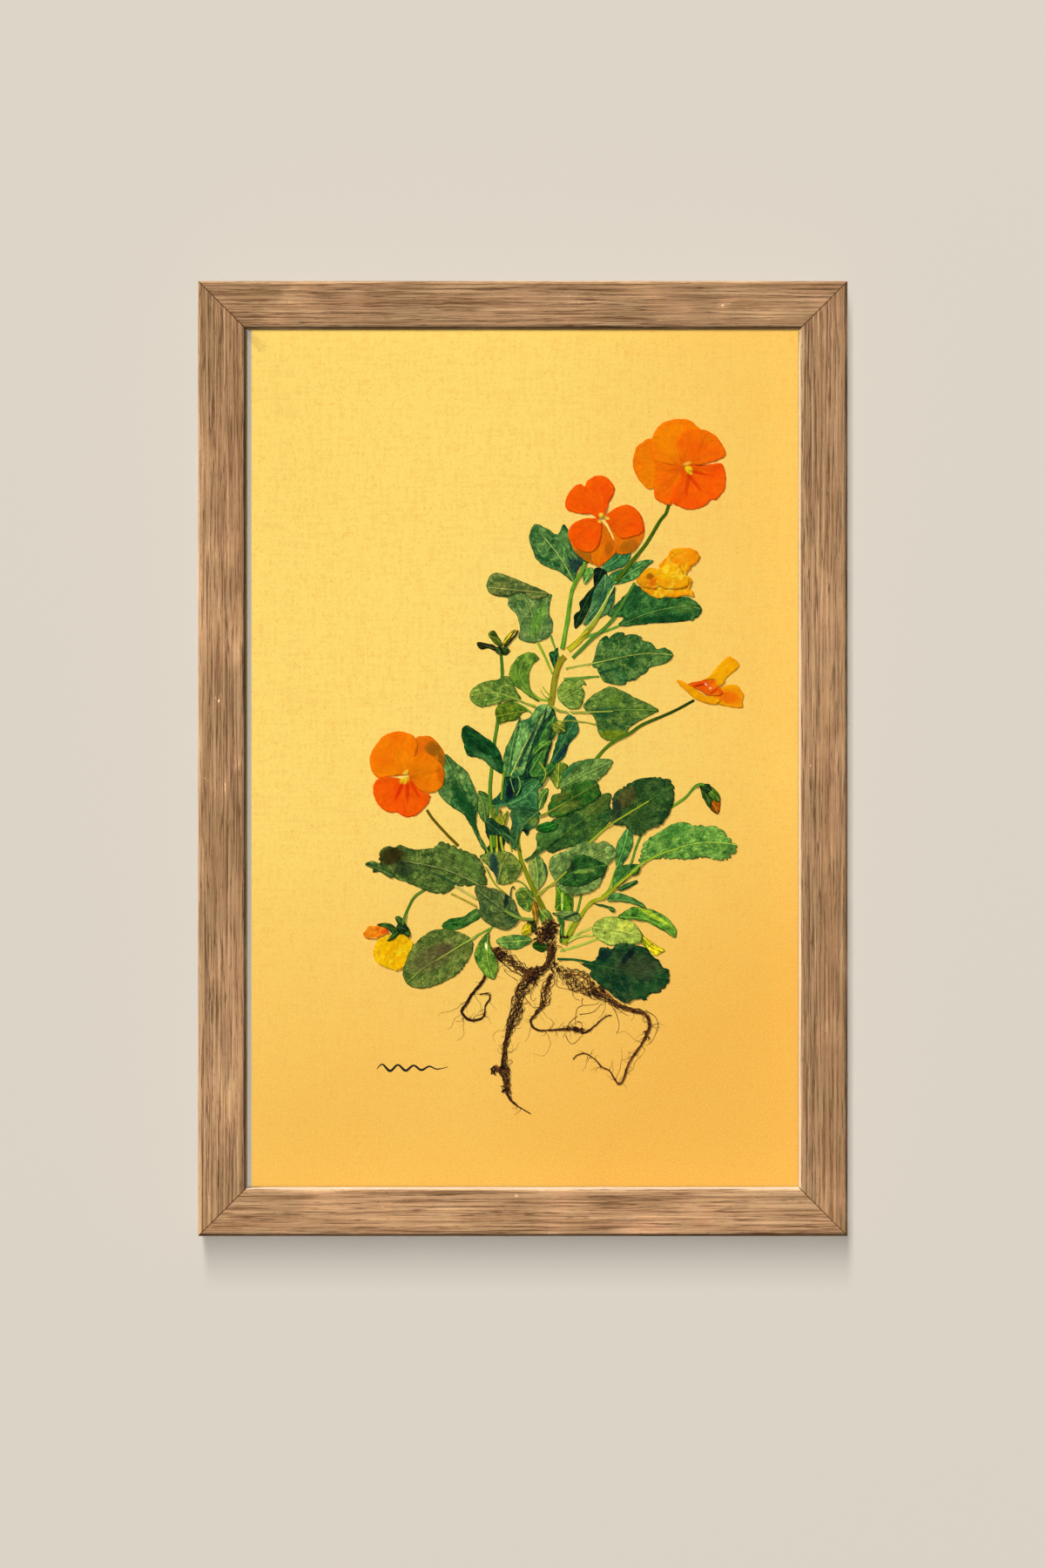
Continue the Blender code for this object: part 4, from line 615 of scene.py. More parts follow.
# Leaf stalks: the layer, the widths at the two ends, the colour and the route
LEAF_STALKS = {
    "leaf_stalks_under": (9, [
        (1.0, 0.7, (120, 160, 50), [(3.8, 41.5), (4.75, 39), (7.25, 34), (9.75, 28.2)]),
        (0.8, 0.6, (88, 134, 60), [(9.2, 41), (10.5, 37.2), (12.2, 33)]),
        (1.1, 0.8, (86, 138, 62), [(18.5, 39.5), (21.8, 40.8), (27.5, 42.4), (32.4, 44.3)]),
        (0.9, 0.7, (84, 132, 58), [(13.6, 26.4), (18.2, 26.8), (25.4, 27.3)]),
        (0.8, 0.9, (120, 158, 60), [(8.6, 19.4), (5.5, 19.9), (2.6, 22.4)]),
        (0.9, 0.7, (96, 140, 56), [(-17, -60), (-14, -58.2), (-10, -56)]),
        (0.8, 0.6, (90, 134, 54), [(-11.7, -58.4), (-11, -57), (-10, -55.6)]),
        (0.9, 0.8, (150, 176, 90), [(15, -60.4), (18.5, -58.2), (23.2, -56.2)]),
        (0.7, 0.7, (160, 182, 90), [(15, -60.8), (18.3, -59.2), (23.4, -58.8)]),
        (0.8, 0.8, (140, 172, 80), [(12.4, -64), (18, -62.4), (25.4, -59.8)]),
        (0.8, 0.9, (70, 122, 50), [(33.4, -40.5), (36, -35), (37.5, -30), (39.3, -25.5)]),
        (0.7, 0.9, (110, 150, 48), [(26.2, -45.8), (28.8, -43.2), (31.2, -36.4), (34.6, -30)]),
        (0.8, 1.0, (118, 146, 40), [(-10.8, -25), (-10.6, -28), (-10.4, -31.5)]),
        (0.9, 0.9, (176, 170, 44), [(-9, -25), (-8.8, -28), (-8.6, -31.5)]),
        (0.9, 0.9, (150, 160, 44), [(-7.4, -25.4), (-7.2, -28), (-6.4, -31.5)]),
        (0.6, 0.6, (140, 150, 60), [(-5, -25.6), (-4.4, -28), (-3.6, -31)]),
        (1.0, 1.1, (98, 140, 44), [(-14, -27), (-12.4, -30), (-10, -34)]),
        (0.7, 0.8, (64, 110, 50), [(16.4, -45), (16.5, -48), (16.3, -51)]),
        (0.8, 0.8, (76, 124, 50), [(19.4, -45), (18.8, -48), (18, -51)]),
        (1.1, 0.9, (118, 158, 50), [(14.6, -61.4), (16.5, -57), (18, -53.6)]),
        (0.9, 0.8, (160, 184, 76), [(13.2, -61), (14.6, -57.4), (16.6, -53.8)])]),
    "leaf_stalks_over": (68, [
        (0.7, 0.35, (138, 160, 84), [(14.2, 29.9), (18.2, 30.7), (24.7, 32), (32, 33.6)]),
        (0.8, 0.5, (120, 150, 66), [(4.2, 17.4), (1, 18.4), (-1.6, 19.6), (-5.5, 20.9)]),
        (0.7, 0.4, (96, 140, 60), [(2.6, 15.4), (0.4, 17.2), (-3, 19)]),
        (0.8, 0.5, (132, 150, 72), [(9.6, 17.4), (12, 16), (16, 15.4), (24.6, 15.6), (30, 15.8)]),
        (0.5, 0.5, (120, 140, 60), [(12.6, 12.2), (15.6, 12.6), (19.2, 12.3), (24.8, 11.3)]),
        (0.35, 0.4, (206, 210, 150), [(11, 20), (13.6, 17), (17, 14)]),
        (1.1, 0.9, (104, 132, 62), [(3.6, -53.5), (0.6, -53.2), (-2.4, -52.5), (-6, -50.4)]),
        (0.7, 0.3, (132, 156, 78), [(-15.4, -59), (-20, -61.6), (-24.5, -64.4), (-29, -67.2)]),
        (0.8, 0.5, (112, 128, 50), [(5.4, -19.2), (7.4, -18.4), (9.8, -17), (14.5, -14.4)]),
        (1.0, 0.7, (40, 82, 44), [(0.6, -34), (5, -31.4), (9, -28.9)]),
        (0.9, 0.5, (128, 150, 46), [(22, -28), (25.5, -24.8), (29.2, -21.8), (36, -17.6), (42, -14)]),
        (0.8, 0.7, (20, 76, 44), [(11.4, -66.6), (15, -66.7), (18.6, -67), (23, -67.8)]),
        (0.9, 0.6, (134, 146, 58), [(4.6, -45.4), (8, -43), (11, -40.8), (14.6, -37.4)]),
        (0.5, 0.4, (54, 56, 40), [(14.6, -37.4), (16, -35.2), (15.9, -33.2)]),
        (0.9, 0.7, (124, 160, 56), [(36, -37.8), (40, -34.6), (46, -31.6), (52, -29.8)]),
        (0.4, 0.3, (104, 150, 96), [(-4.2, -6.5), (-3.6, -9), (-2.6, -12)]),
        (0.5, 0.4, (96, 146, 86), [(-1.6, -6), (-0.8, -9), (-2.2, -12.4)]),
        (0.7, 0.8, (96, 132, 30), [(-6.3, -4.4), (-6.8, -9), (-7.2, -13.8)]),
        (0.4, 0.4, (30, 60, 50), [(-3.2, -5), (-2, -8.5), (-3.4, -13)]),
        (0.5, 0.3, (150, 150, 60), [(5.4, -1), (7.6, -4.6), (6.6, -8)]),
        (1.1, 0.9, (60, 110, 66), [(-8.6, -15.8), (-8.8, -17.6), (-8.6, -19)]),
        (0.9, 0.7, (54, 100, 60), [(-6.8, -24.6), (-4, -26.4), (-2.4, -28.6), (-1, -30.4)]),
        (1.0, 0.8, (170, 168, 110), [(-22.6, -42.2), (-19, -44.6), (-15.4, -46.6)]),
        (0.7, 0.7, (150, 140, 60), [(-24, -44.8), (-20, -46.8), (-15.6, -49)]),
        (0.5, 0.5, (44, 74, 40), [(-4.2, -46.4), (-3.9, -43.6), (-3.2, -42.4), (-2.9, -43.4)]),
        (0.5, 0.6, (92, 124, 54), [(-5, -40.8), (-2, -40.5), (0.6, -42), (2, -44.4), (3.6, -47)]),
        (0.5, 0.5, (120, 134, 44), [(-12.4, -36), (-9.4, -41.6), (-5.6, -45)]),
        (0.4, 0.5, (78, 96, 34), [(-1.6, -44.6), (0, -43.9), (1.4, -45), (0.6, -46.6), (-0.8, -46)]),
        (0.4, 0.4, (84, 110, 40), [(-1, -47.4), (0.8, -47.2), (2.2, -48.6), (1.4, -50)]),
        (0.5, 0.5, (176, 190, 130), [(30.4, 57.6), (27.6, 52.6), (24, 47), (19.4, 41.6)]),
        (0.9, 1.0, (170, 164, 30), [(17.6, 38.6), (19.6, 40.8), (21.6, 42.6)]),
        (0.5, 0.4, (120, 150, 50), [(9.6, 20.4), (7.6, 22.4), (6.6, 24)]),
        (0.4, 0.3, (130, 140, 60), [(9.2, 19.8), (7.2, 20.8), (5.8, 22.8)])]),
}

# Root bundles of the frame: (across, up, width) along each, and how many fibres it holds
ROOTS = {
    "root_main": (24, [
        (9.5, -60.5, 3.4), (9.3, -66, 2.4), (7.5, -69.5, 2.2), (3.5, -71.8, 3.4),
        (0, -76.5, 4.8), (-2.2, -84.5, 4.2), (-5, -92.5, 2.2), (-6, -97.5, 1.5),
        (-6, -104.5, 2.2), (-5, -111, 1.4), (-3, -114.5, 0.5), (2.5, -118, 0.2)]),
    "root_left": (16, [
        (2.5, -71.5, 3.0), (-1.5, -69, 4.4), (-5, -66.2, 4.6), (-9, -64.4, 3.2), (-11.5, -68, 1.6),
        (-13, -73.5, 1.0), (-16.5, -77.5, 0.9), (-19, -81.5, 0.8), (-20.5, -84, 0.7),
        (-18.5, -86.5, 0.7), (-15.5, -87, 0.6), (-13, -85.5, 0.5), (-12.5, -82, 0.4),
        (-11, -80, 0.4), (-11.5, -78, 0.3), (-14.4, -78.3, 0.2)]),
    "root_middle": (14, [
        (10.5, -70.5, 1.6), (8.4, -76, 4.2), (7.5, -80.5, 3.0), (4.2, -85, 1.0),
        (2.6, -87.6, 0.6), (5, -90.2, 0.6), (11.5, -90, 0.7), (17, -89.8, 1.2),
        (20.4, -91, 0.8), (23.5, -89, 0.4), (27, -86, 0.3), (29.4, -85.2, 0.2)]),
    "root_right": (20, [
        (11.5, -69.5, 2.0), (16, -72.5, 6.6), (21, -75.5, 6.4), (26, -78.5, 4.2),
        (30, -81.3, 2.0), (35, -83.3, 1.3), (40, -84.5, 1.4), (42, -87.5, 1.0),
        (41.5, -91, 0.9), (39, -95.5, 0.7), (36.5, -99, 0.6), (34.4, -103, 0.5),
        (33.5, -106.5, 0.5), (31.6, -108.2, 0.4), (29, -104, 0.3), (26.4, -102.5, 0.25),
        (24, -100, 0.2), (21, -98, 0.2), (18, -98.5, 0.2), (16.6, -100, 0.2)]),
}

# For each rail: does it lie level, which way its inner edge faces for the painted highlight on
# its inner side faces, where its grain starts, and the gain on its colour
RAILS = (("left", False, 1, 0.0, 1.04), ("right", False, -1, 0.13, 1.0),
         ("top", True, -1, 0.31, 1.04), ("bottom", True, 1, 0.57, 1.17))

# Section of the filler in a mitre: from the rail's inner edge outwards, and back from its front
JOINT_SECTION = [(0.2, 5.2), (0.2, 1.3), (0.75, 0.4), (15.25, 0.4), (15.8, 1.3), (15.8, 19.7),
                 (8.7, 19.7), (8.7, 5.2)]

# Single root fibres that stray from the bundles
STRAY_FIBRES = [
    [(19.8, -79.5), (19.7, -81.8), (22.1, -81.9), (24.8, -81.4), (25.4, -80)],
    [(19.8, -82), (18.1, -83.1), (17.5, -86), (17.4, -89.4)],
    [(18.1, -85.6), (15.5, -87.7), (14.2, -90.7), (13.4, -92.8)],
    [(14.2, -92), (15.4, -94.3), (16.9, -94.7), (18.8, -93), (19.8, -91.2)],
    [(18, -87.3), (19.4, -87.9), (19.7, -89.8)],
    [(18.8, -85), (22.1, -84.6), (24.1, -83.7), (26.2, -81.2)],
    [(29.8, -82.6), (31, -84.7), (31.6, -86.6), (32, -89), (31.2, -91.6)],
    [(40.6, -83.6), (43.9, -85.7), (44.9, -88.7), (43.9, -92), (42.6, -94.3), (40.8, -95.4)],
    [(11.8, -71), (11.1, -73.5), (11.5, -75.8), (15.5, -76.6), (17, -76)],
    [(12.4, -71.4), (13.4, -73.2), (13, -74.8), (14.6, -75)],
    [(16.8, -76), (16.4, -78.1), (17.5, -79.8), (19, -80.3)],
    [(4, -74.6), (2.5, -78.8), (3.4, -80.6), (4.4, -79.4)],
    [(1.6, -80.6), (3.6, -82.7), (6.9, -82)],
    [(12, -70.6), (16, -70), (20.4, -71.2), (24, -73.6)],
    [(13.4, -71.6), (18, -72), (21, -73), (23.4, -72.4)],
    [(-6.2, -102.4), (-3.6, -101), (-4, -100.2), (-5.2, -100.8)],
    [(-2, -73.6), (-4.8, -71.8), (-6.2, -70.4), (-5.4, -69.6)],
    [(9.6, -67), (10.4, -69), (12.2, -71)],
    [(11.2, -62), (12.8, -62.6), (14, -64.4)],
    [(25.8, -103), (25.2, -101), (24.4, -100.4)],
    [(39.4, -95.4), (40.6, -96.8)],
    [(30.4, -82.4), (33.4, -84.6), (35, -85.4)],
]

# Where soil and old leaf bases cling: middle, reach across and up, and how many scraps
TANGLES = [
    ((8.6, -56.6), 2.2, 3, 90), ((6.6, -58.4), 2.4, 2.8, 60), ((9.4, -62.6), 1.2, 2.6, 22),
    ((3.2, -71.8), 2.4, 2.4, 60), ((-7.4, -103.4), 3, 1.3, 54), ((13.4, -59.6), 0.8, 1.2, 8),
    ((10.8, -69.6), 1.2, 1.2, 10), ((-5.4, -108.6), 0.9, 3.2, 24), ((17, -90), 3.4, 0.7, 20),
    ((-8.4, -65), 2.6, 1.8, 50), ((24, -77.4), 3.4, 2, 30), ((41.4, -89), 0.7, 3.6, 6),
]

# The pen line on the sheet, a plain fading wave: (across, up, width of the line)
FLOURISH = [
    (-48.6, -103.2, 0.2), (-46.8, -101.6, 0.5), (-44.2, -103.8, 0.8), (-41.6, -101.8, 0.6),
    (-39, -103.7, 0.8), (-36.4, -102, 0.6), (-33.8, -103.5, 0.7), (-31.2, -102.3, 0.5),
    (-28.6, -103.2, 0.4), (-25, -102.5, 0.15)]


# ---------------------------------------------------------------------------------- settings

class WoodSettings(bpy.types.PropertyGroup):
    """The oak rails."""

    face: FloatVectorProperty(
        name="Wood", description="Colour of the wood between its grain lines", subtype="COLOR",
        default=rgb(192, 150, 108)[:3], min=0, max=1)
    grain: FloatVectorProperty(
        name="Grain", description="Colour of the grain lines", subtype="COLOR",
        default=rgb(128, 92, 56)[:3], min=0, max=1)
    ring: FloatProperty(
        name="Grain spacing", description="Distance between two grain lines",
        default=2.1 * MM, min=0.2 * MM, unit="LENGTH")


class PaperSettings(bpy.types.PropertyGroup):
    """The yellow sheet and the card under it."""

    bright: FloatVectorProperty(
        name="Upper colour", description="Colour of the sheet at its upper left",
        subtype="COLOR", default=rgb(255, 219, 112)[:3], min=0, max=1)
    deep: FloatVectorProperty(
        name="Lower colour", description="Colour of the sheet at its lower right",
        subtype="COLOR", default=rgb(245, 182, 74)[:3], min=0, max=1)


class LeafSettings(bpy.types.PropertyGroup):
    """Sizes that all leaves share."""

    step: FloatProperty(
        name="Mesh step", description="Distance between the points of a leaf's surface",
        default=0.62 * MM, min=0.2 * MM, unit="LENGTH")
    thick: FloatProperty(
        name="Thickness", description="Thickness of a dry leaf", default=0.12 * MM,
        min=0.01 * MM, unit="LENGTH")
    relief: FloatProperty(
        name="Relief", description="Height of the folds that pressing left in a leaf",
        default=0.2 * MM, min=0, unit="LENGTH")
    rib: FloatProperty(
        name="Rib height", description="Height of the midrib and the side veins",
        default=0.12 * MM, min=0, unit="LENGTH")
    drying: FloatVectorProperty(
        name="Drying", description="Tint that drying gives to every green part",
        default=(1.6, 1.42, 0.78), min=0, max=4)
    tooth_pitch: FloatProperty(
        name="Tooth spacing", description="Distance between two teeth of a leaf's margin",
        default=2.7 * MM, min=0.5 * MM, unit="LENGTH")


class PetalSettings(bpy.types.PropertyGroup):
    """Sizes that all petals share."""

    step: FloatProperty(
        name="Mesh step", description="Distance between the points of a petal's surface",
        default=0.6 * MM, min=0.2 * MM, unit="LENGTH")
    thick: FloatProperty(
        name="Thickness", description="Thickness of a dry petal", default=0.06 * MM,
        min=0.01 * MM, unit="LENGTH")
    relief: FloatProperty(
        name="Relief", description="Height of a petal's folds", default=0.2 * MM, min=0,
        unit="LENGTH")


class StemSettings(bpy.types.PropertyGroup):
    """The pressed stems and stalks."""

    flatness: FloatProperty(
        name="Flatness", description="A stem's depth as a share of its width", default=0.22,
        min=0.1, max=1, subtype="FACTOR")
    ribs: IntProperty(
        name="Ridges", description="Ridges that run along a stem", default=5, min=0)
    sides: IntProperty(
        name="Sides", description="Sides of a stem's cross section", default=20, min=6)


class RootSettings(bpy.types.PropertyGroup):
    """The dry root fibres."""

    fibre: FloatProperty(
        name="Fibre width", description="Width of one root fibre", default=0.22 * MM,
        min=0.05 * MM, unit="LENGTH")
    seed: IntProperty(name="Seed", description="Start of the fibres' random wandering", default=11)


class StageSettings(bpy.types.PropertyGroup):
    """The wall, the lamps and the camera."""

    wall: FloatVectorProperty(
        name="Wall", description="Colour of the wall", subtype="COLOR",
        default=rgb(222, 214, 201)[:3], min=0, max=1)
    key: FloatProperty(
        name="Key light", description="Strength of the sun on the plant", default=2.72, min=0)
    rail_key: FloatProperty(
        name="Rail light", description="Strength of the low sun that models the rails",
        default=5.5, min=0)
    front: FloatProperty(
        name="Front light", description="Strength of the sun square to the frame", default=1.1,
        min=0)
    wall_key: FloatProperty(
        name="Wall light", description="Power of the lamp that casts the frame's shadow",
        default=3930.0, min=0, unit="POWER")
    back: FloatProperty(
        name="Back light", description="Power of the lamp behind the frame", default=30.0, min=0,
        unit="POWER")
    ambient: FloatProperty(
        name="Room light", description="Strength of the light from all round", default=0.06,
        min=0)


# ------------------------------------------------------------------------------ node helpers

class Wire:
    """A value or colour in a material's nodes that takes part in Python arithmetic."""

    def __init__(self, paint, socket):
        self.paint = paint
        self.socket = socket

    def maths(self, operation, *values):
        """This value and others through one Math node."""
        sockets = dict(enumerate([self, *values]))
        return self.paint.node("Math", {"operation": operation}, sockets)

    def __add__(self, other):
        return self.maths("ADD", other)

    def __radd__(self, other):
        return self.maths("ADD", other)

    def __sub__(self, other):
        return self.maths("SUBTRACT", other)

    def __rsub__(self, other):
        return self.paint.number(other).maths("SUBTRACT", self)

    def __mul__(self, other):
        return self.maths("MULTIPLY", other)

    def __rmul__(self, other):
        return self.maths("MULTIPLY", other)

    def __truediv__(self, other):
        return self.maths("DIVIDE", other)

    def __abs__(self):
        return self.maths("ABSOLUTE")

    def fraction(self):
        """What is left of this value after its whole number."""
        return self.maths("FRACT")

    def rises(self, low, high):
        """0 below low, 1 above high, and smooth between them."""
        settings = {"interpolation_type": "SMOOTHSTEP"}
        return self.paint.node("MapRange", settings, {0: self, 1: low, 2: high, 3: 0.0, 4: 1.0})

    def falls(self, low, high):
        """1 below low, 0 above high, and smooth between them."""
        settings = {"interpolation_type": "SMOOTHSTEP"}
        return self.paint.node("MapRange", settings, {0: self, 1: low, 2: high, 3: 1.0, 4: 0.0})


class Paint:
    """A material while its nodes are put together."""

    def __init__(self, name):
        self.material = bpy.data.materials.new(name)
        self.material.use_nodes = True
        self.tree = self.material.node_tree
        self.tree.nodes.clear()
        self.place = self.node("TexCoord", take="Object")

    def node(self, kind, settings=None, sockets=None, take=0):
        """The output of a new node: its settings are set first, then its sockets."""
        made = self.tree.nodes.new("ShaderNode" + kind)
        for key, value in (settings or {}).items():
            setattr(made, key, value)
        for key, value in (sockets or {}).items():
            if isinstance(value, Wire):
                self.tree.links.new(value.socket, made.inputs[key])
            else:
                made.inputs[key].default_value = value
        return Wire(self, made.outputs[take]) if take is not None else made

    def number(self, value):
        """A plain number as the start of an expression."""
        return self.node("Math", {"operation": "ADD"}, {0: value, 1: 0.0})

    def mix(self, share, first, second, blend="MIX"):
        """A colour between two others."""
        settings = {"data_type": "RGBA", "blend_type": blend}
        return self.node("Mix", settings, {0: share, 6: first, 7: second}, take=2)

    def noise(self, scale, detail=4.0, rough=0.6, warp=0.0, vector=None):
        """Cloudy noise, scale to the metre."""
        sockets = {"Vector": vector or self.place, "Scale": scale, "Detail": detail,
                   "Roughness": rough, "Distortion": warp}
        return self.node("TexNoise", None, sockets)

    def stretched(self, scale, shift=(0.0, 0.0, 0.0)):
        """The place in the object, scaled along each axis."""
        return self.node("Mapping", None, {"Vector": self.place, "Location": shift, "Scale": scale})

    def field(self, name):
        """A number stored at the mesh's points."""
        return self.node("Attribute", {"attribute_name": name}, take="Fac")

    def patch(self, across, up, half_length, half_width, turn, ragged=0.5):
        """A soft oval patch on the plant, 1 in its middle."""
        spot = (MIDDLE.x + across * MM, 0.0, MIDDLE.z + up * MM)
        flat = self.node("Mapping", None, {"Vector": self.place, "Scale": (1.0, 0.0, 1.0)})
        sockets = {"Vector": flat, "Location": spot, "Rotation": (0.0, math.radians(-turn), 0.0),
                   "Scale": (half_length * MM, 1.0, half_width * MM)}
        local = self.node("Mapping", {"vector_type": "TEXTURE"}, sockets)
        reach = self.node("VectorMath", {"operation": "LENGTH"}, {0: local}, take="Value")
        cloud = self.noise(900.0, 5.0, 0.65) - 0.5
        return (reach + cloud * (2.0 * ragged)).falls(0.55, 1.15)

    def shade(self, colour, roughness, height=None, depth=0.0, fixed=None):
        """The finished material: a Principled shader with its bump and fixed values."""
        sockets = {"Base Color": colour, "Roughness": roughness, **(fixed or {})}
        if height is not None:
            sockets["Normal"] = self.node(
                "Bump", None, {"Strength": 1.0, "Distance": depth, "Height": height})
        shader = self.node("BsdfPrincipled", None, sockets)
        self.node("OutputMaterial", None, {"Surface": shader}, take=None)
        return self.material


# ------------------------------------------------------------------------------ mesh helpers

def between(before, start, end, after, share):
    """A point on the Catmull-Rom curve from start to end."""
    square = share * share
    cube = square * share
    return tuple(
        0.5 * (2 * b + (c - a) * share + (2 * a - 5 * b + 4 * c - d) * square
               + (3 * b - a - 3 * c + d) * cube)
        for a, b, c, d in zip(before, start, end, after, strict=True))


def smooth_closed(points, steps=4):
    """Points along the smooth closed curve through the given ones."""
    count = len(points)
    found = []
    for i in range(count):
        around = [points[(i + k) % count] for k in (-1, 0, 1, 2)]
        found += [between(*around, step / steps) for step in range(steps)]
    return found


def smooth_open(points, steps=6):
    """Points along the smooth open curve through the given ones."""
    padded = [points[0], *points, points[-1]]
    found = []
    for i in range(len(points) - 1):
        found += [between(*padded[i:i + 4], step / steps) for step in range(steps)]
    return [*found, points[-1]]


def evenly(points, step, closed):
    """The line through the points, cut at even distances."""
    line = np.array([*points, points[0]] if closed else points, float)
    lengths = np.linalg.norm(np.diff(line[:, :2], axis=0), axis=1)
    gone = np.concatenate([[0], np.cumsum(lengths)])
    count = max(8, round(gone[-1] / step))
    marks = np.linspace(0, gone[-1], count, endpoint=not closed)
    return np.stack([np.interp(marks, gone, line[:, k]) for k in range(line.shape[1])], axis=1)


def cad_outline(node):
    """The outline of a flat piece of the frame."""
    mesh = frame["nodes"][node].data
    follows = {}
    for face in mesh.polygons:
        if face.normal.y > -0.9:
            continue
        corners = [mesh.vertices[i].co for i in face.vertices]
        flat = [(round((c.x - MIDDLE.x) / MM, 2), round((c.z - MIDDLE.z) / MM, 2)) for c in corners]
        for start, end in zip(flat, flat[1:] + flat[:1], strict=True):
            if follows.get(end) and start in follows[end]:
                follows[end].remove(start)
            else:
                follows.setdefault(start, set()).add(end)
    start = next(point for point, ends in follows.items() if ends)
    outline = [start]
    while True:
        ahead = next(iter(follows[outline[-1]]))
        if ahead == start:
            return outline
        outline.append(ahead)


def inside(points, outline):
    """Which points lie within the outline."""
    x, y = points[:, 0], points[:, 1]
    found = np.zeros(len(points), bool)
    for (x0, y0), (x1, y1) in zip(outline, np.roll(outline, -1, axis=0), strict=True):
        if y0 == y1:
            continue
        crosses = ((y0 > y) != (y1 > y)) & (x < (x1 - x0) * (y - y0) / (y1 - y0) + x0)
        found ^= crosses
    return found


def along_line(points, line):
    """How far along the line each point lies, and how far to its side."""
    starts, ends = line[:-1], line[1:]
    runs = ends - starts
    lengths = np.linalg.norm(runs, axis=1)
    gone = np.concatenate([[0], np.cumsum(lengths)[:-1]])
    offset = points[:, None, :] - starts[None]
    share = np.clip((offset * runs).sum(2) / lengths ** 2, 0, 1)
    gap = offset - share[..., None] * runs
    distance = np.linalg.norm(gap, axis=2)
    nearest = distance.argmin(1)
    rows = np.arange(len(points))
    side = np.sign(runs[nearest, 0] * offset[rows, nearest, 1]
                   - runs[nearest, 1] * offset[rows, nearest, 0])
    return gone[nearest] + share[rows, nearest] * lengths[nearest], side * distance[rows, nearest]


def toothed(outline, depth, pitch, seed):
    """The outline with uneven, shallow round teeth cut into it."""
    count = len(outline)
    ahead = np.roll(outline, -1, axis=0) - np.roll(outline, 1, axis=0)
    normal = np.stack([ahead[:, 1], -ahead[:, 0]], axis=1)
    normal /= np.linalg.norm(normal, axis=1)[:, None]
    length = np.linalg.norm(np.roll(outline, -1, axis=0) - outline, axis=1).sum()
    teeth = max(1, round(length / pitch))
    uneven = wander(outline, 5, seed)
    wave = np.abs(np.sin((np.arange(count) / count * teeth + 0.9 * uneven) * math.pi)) ** 0.7
    depth = depth * np.clip(1 + 1.3 * wander(outline, 9, seed + 4), 0.1, 1.9)
    inward = -1 if signed_area(outline) > 0 else 1
    return outline + inward * normal * (depth * (1 - wave))[:, None]


def signed_area(outline):
    """The outline's area, above 0 where it runs anticlockwise."""
    ahead = np.roll(outline, -1, axis=0)
    return 0.5 * (outline[:, 0] * ahead[:, 1] - ahead[:, 0] * outline[:, 1]).sum()


def fill(outline, step):
    """Points and triangles that fill the outline evenly; the outline's points come first."""
    low, high = outline.min(0), outline.max(0)
    rows = np.arange(low[1], high[1], step * 0.87)
    grid = [(x + (0.5 * step if i % 2 else 0), y)
            for i, y in enumerate(rows) for x in np.arange(low[0], high[0], step)]
    grid = np.array(grid) if grid else np.zeros((0, 2))
    grid = grid[inside(grid, outline)]
    loop = np.concatenate([outline, outline[:1]])
    grid = grid[np.abs(along_line(grid, loop)[1]) > 0.55 * step] if len(grid) else grid
    points = np.concatenate([outline, grid])
    count = len(outline)
    rim = [(i, (i + 1) % count) for i in range(count)]
    made = geometry.delaunay_2d_cdt([Vector(p) for p in points], rim, [], 1, 1e-6)
    return np.array([tuple(p) for p in made[0]]), [tuple(face) for face in made[2]]


def wander(points, size, seed):
    """Smooth noise between about -1 and 1 at each point; size is that of its features."""
    return np.array([noise.noise((x / size, y / size, seed)) * 2 for x, y in points])


def make_piece(name, points, heights, faces, paint, layer, ease, fields=None):
    """A mesh object at the sheet's front; heights are above the sheet, in millimetres."""
    mesh = bpy.data.meshes.new(name)
    place = [(MIDDLE.x + x * MM, SHEET_FRONT - h * MM, MIDDLE.z + y * MM)
             for (x, y), h in zip(points, heights, strict=True)]
    mesh.from_pydata(place, [], faces)
    for key, values in (fields or {}).items():
        stored = mesh.attributes.new(key, "FLOAT", "POINT")
        stored.data.foreach_set("value", np.asarray(values, np.float32))
    mesh.shade_smooth()
    mesh.materials.append(paint)
    made = bpy.data.objects.new(name, mesh)
    bpy.context.scene.collection.objects.link(made)
    made["layer"] = float(layer)
    made["ease"] = float(ease)
    return made


def thicken(made, thick):
    """Gives a thin piece its thickness, away from its front."""
    made["thick"] = thick / MM
    solid = made.modifiers.new("thickness", "SOLIDIFY")
    solid.thickness = thick
    solid.offset = -1.0


def attach(made, slot, *nodes):
    """The piece rides on the frame and stands for the nodes, which it hides; the slot is not used."""
    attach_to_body(made, ROOT)
    if nodes:
        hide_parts(*nodes)


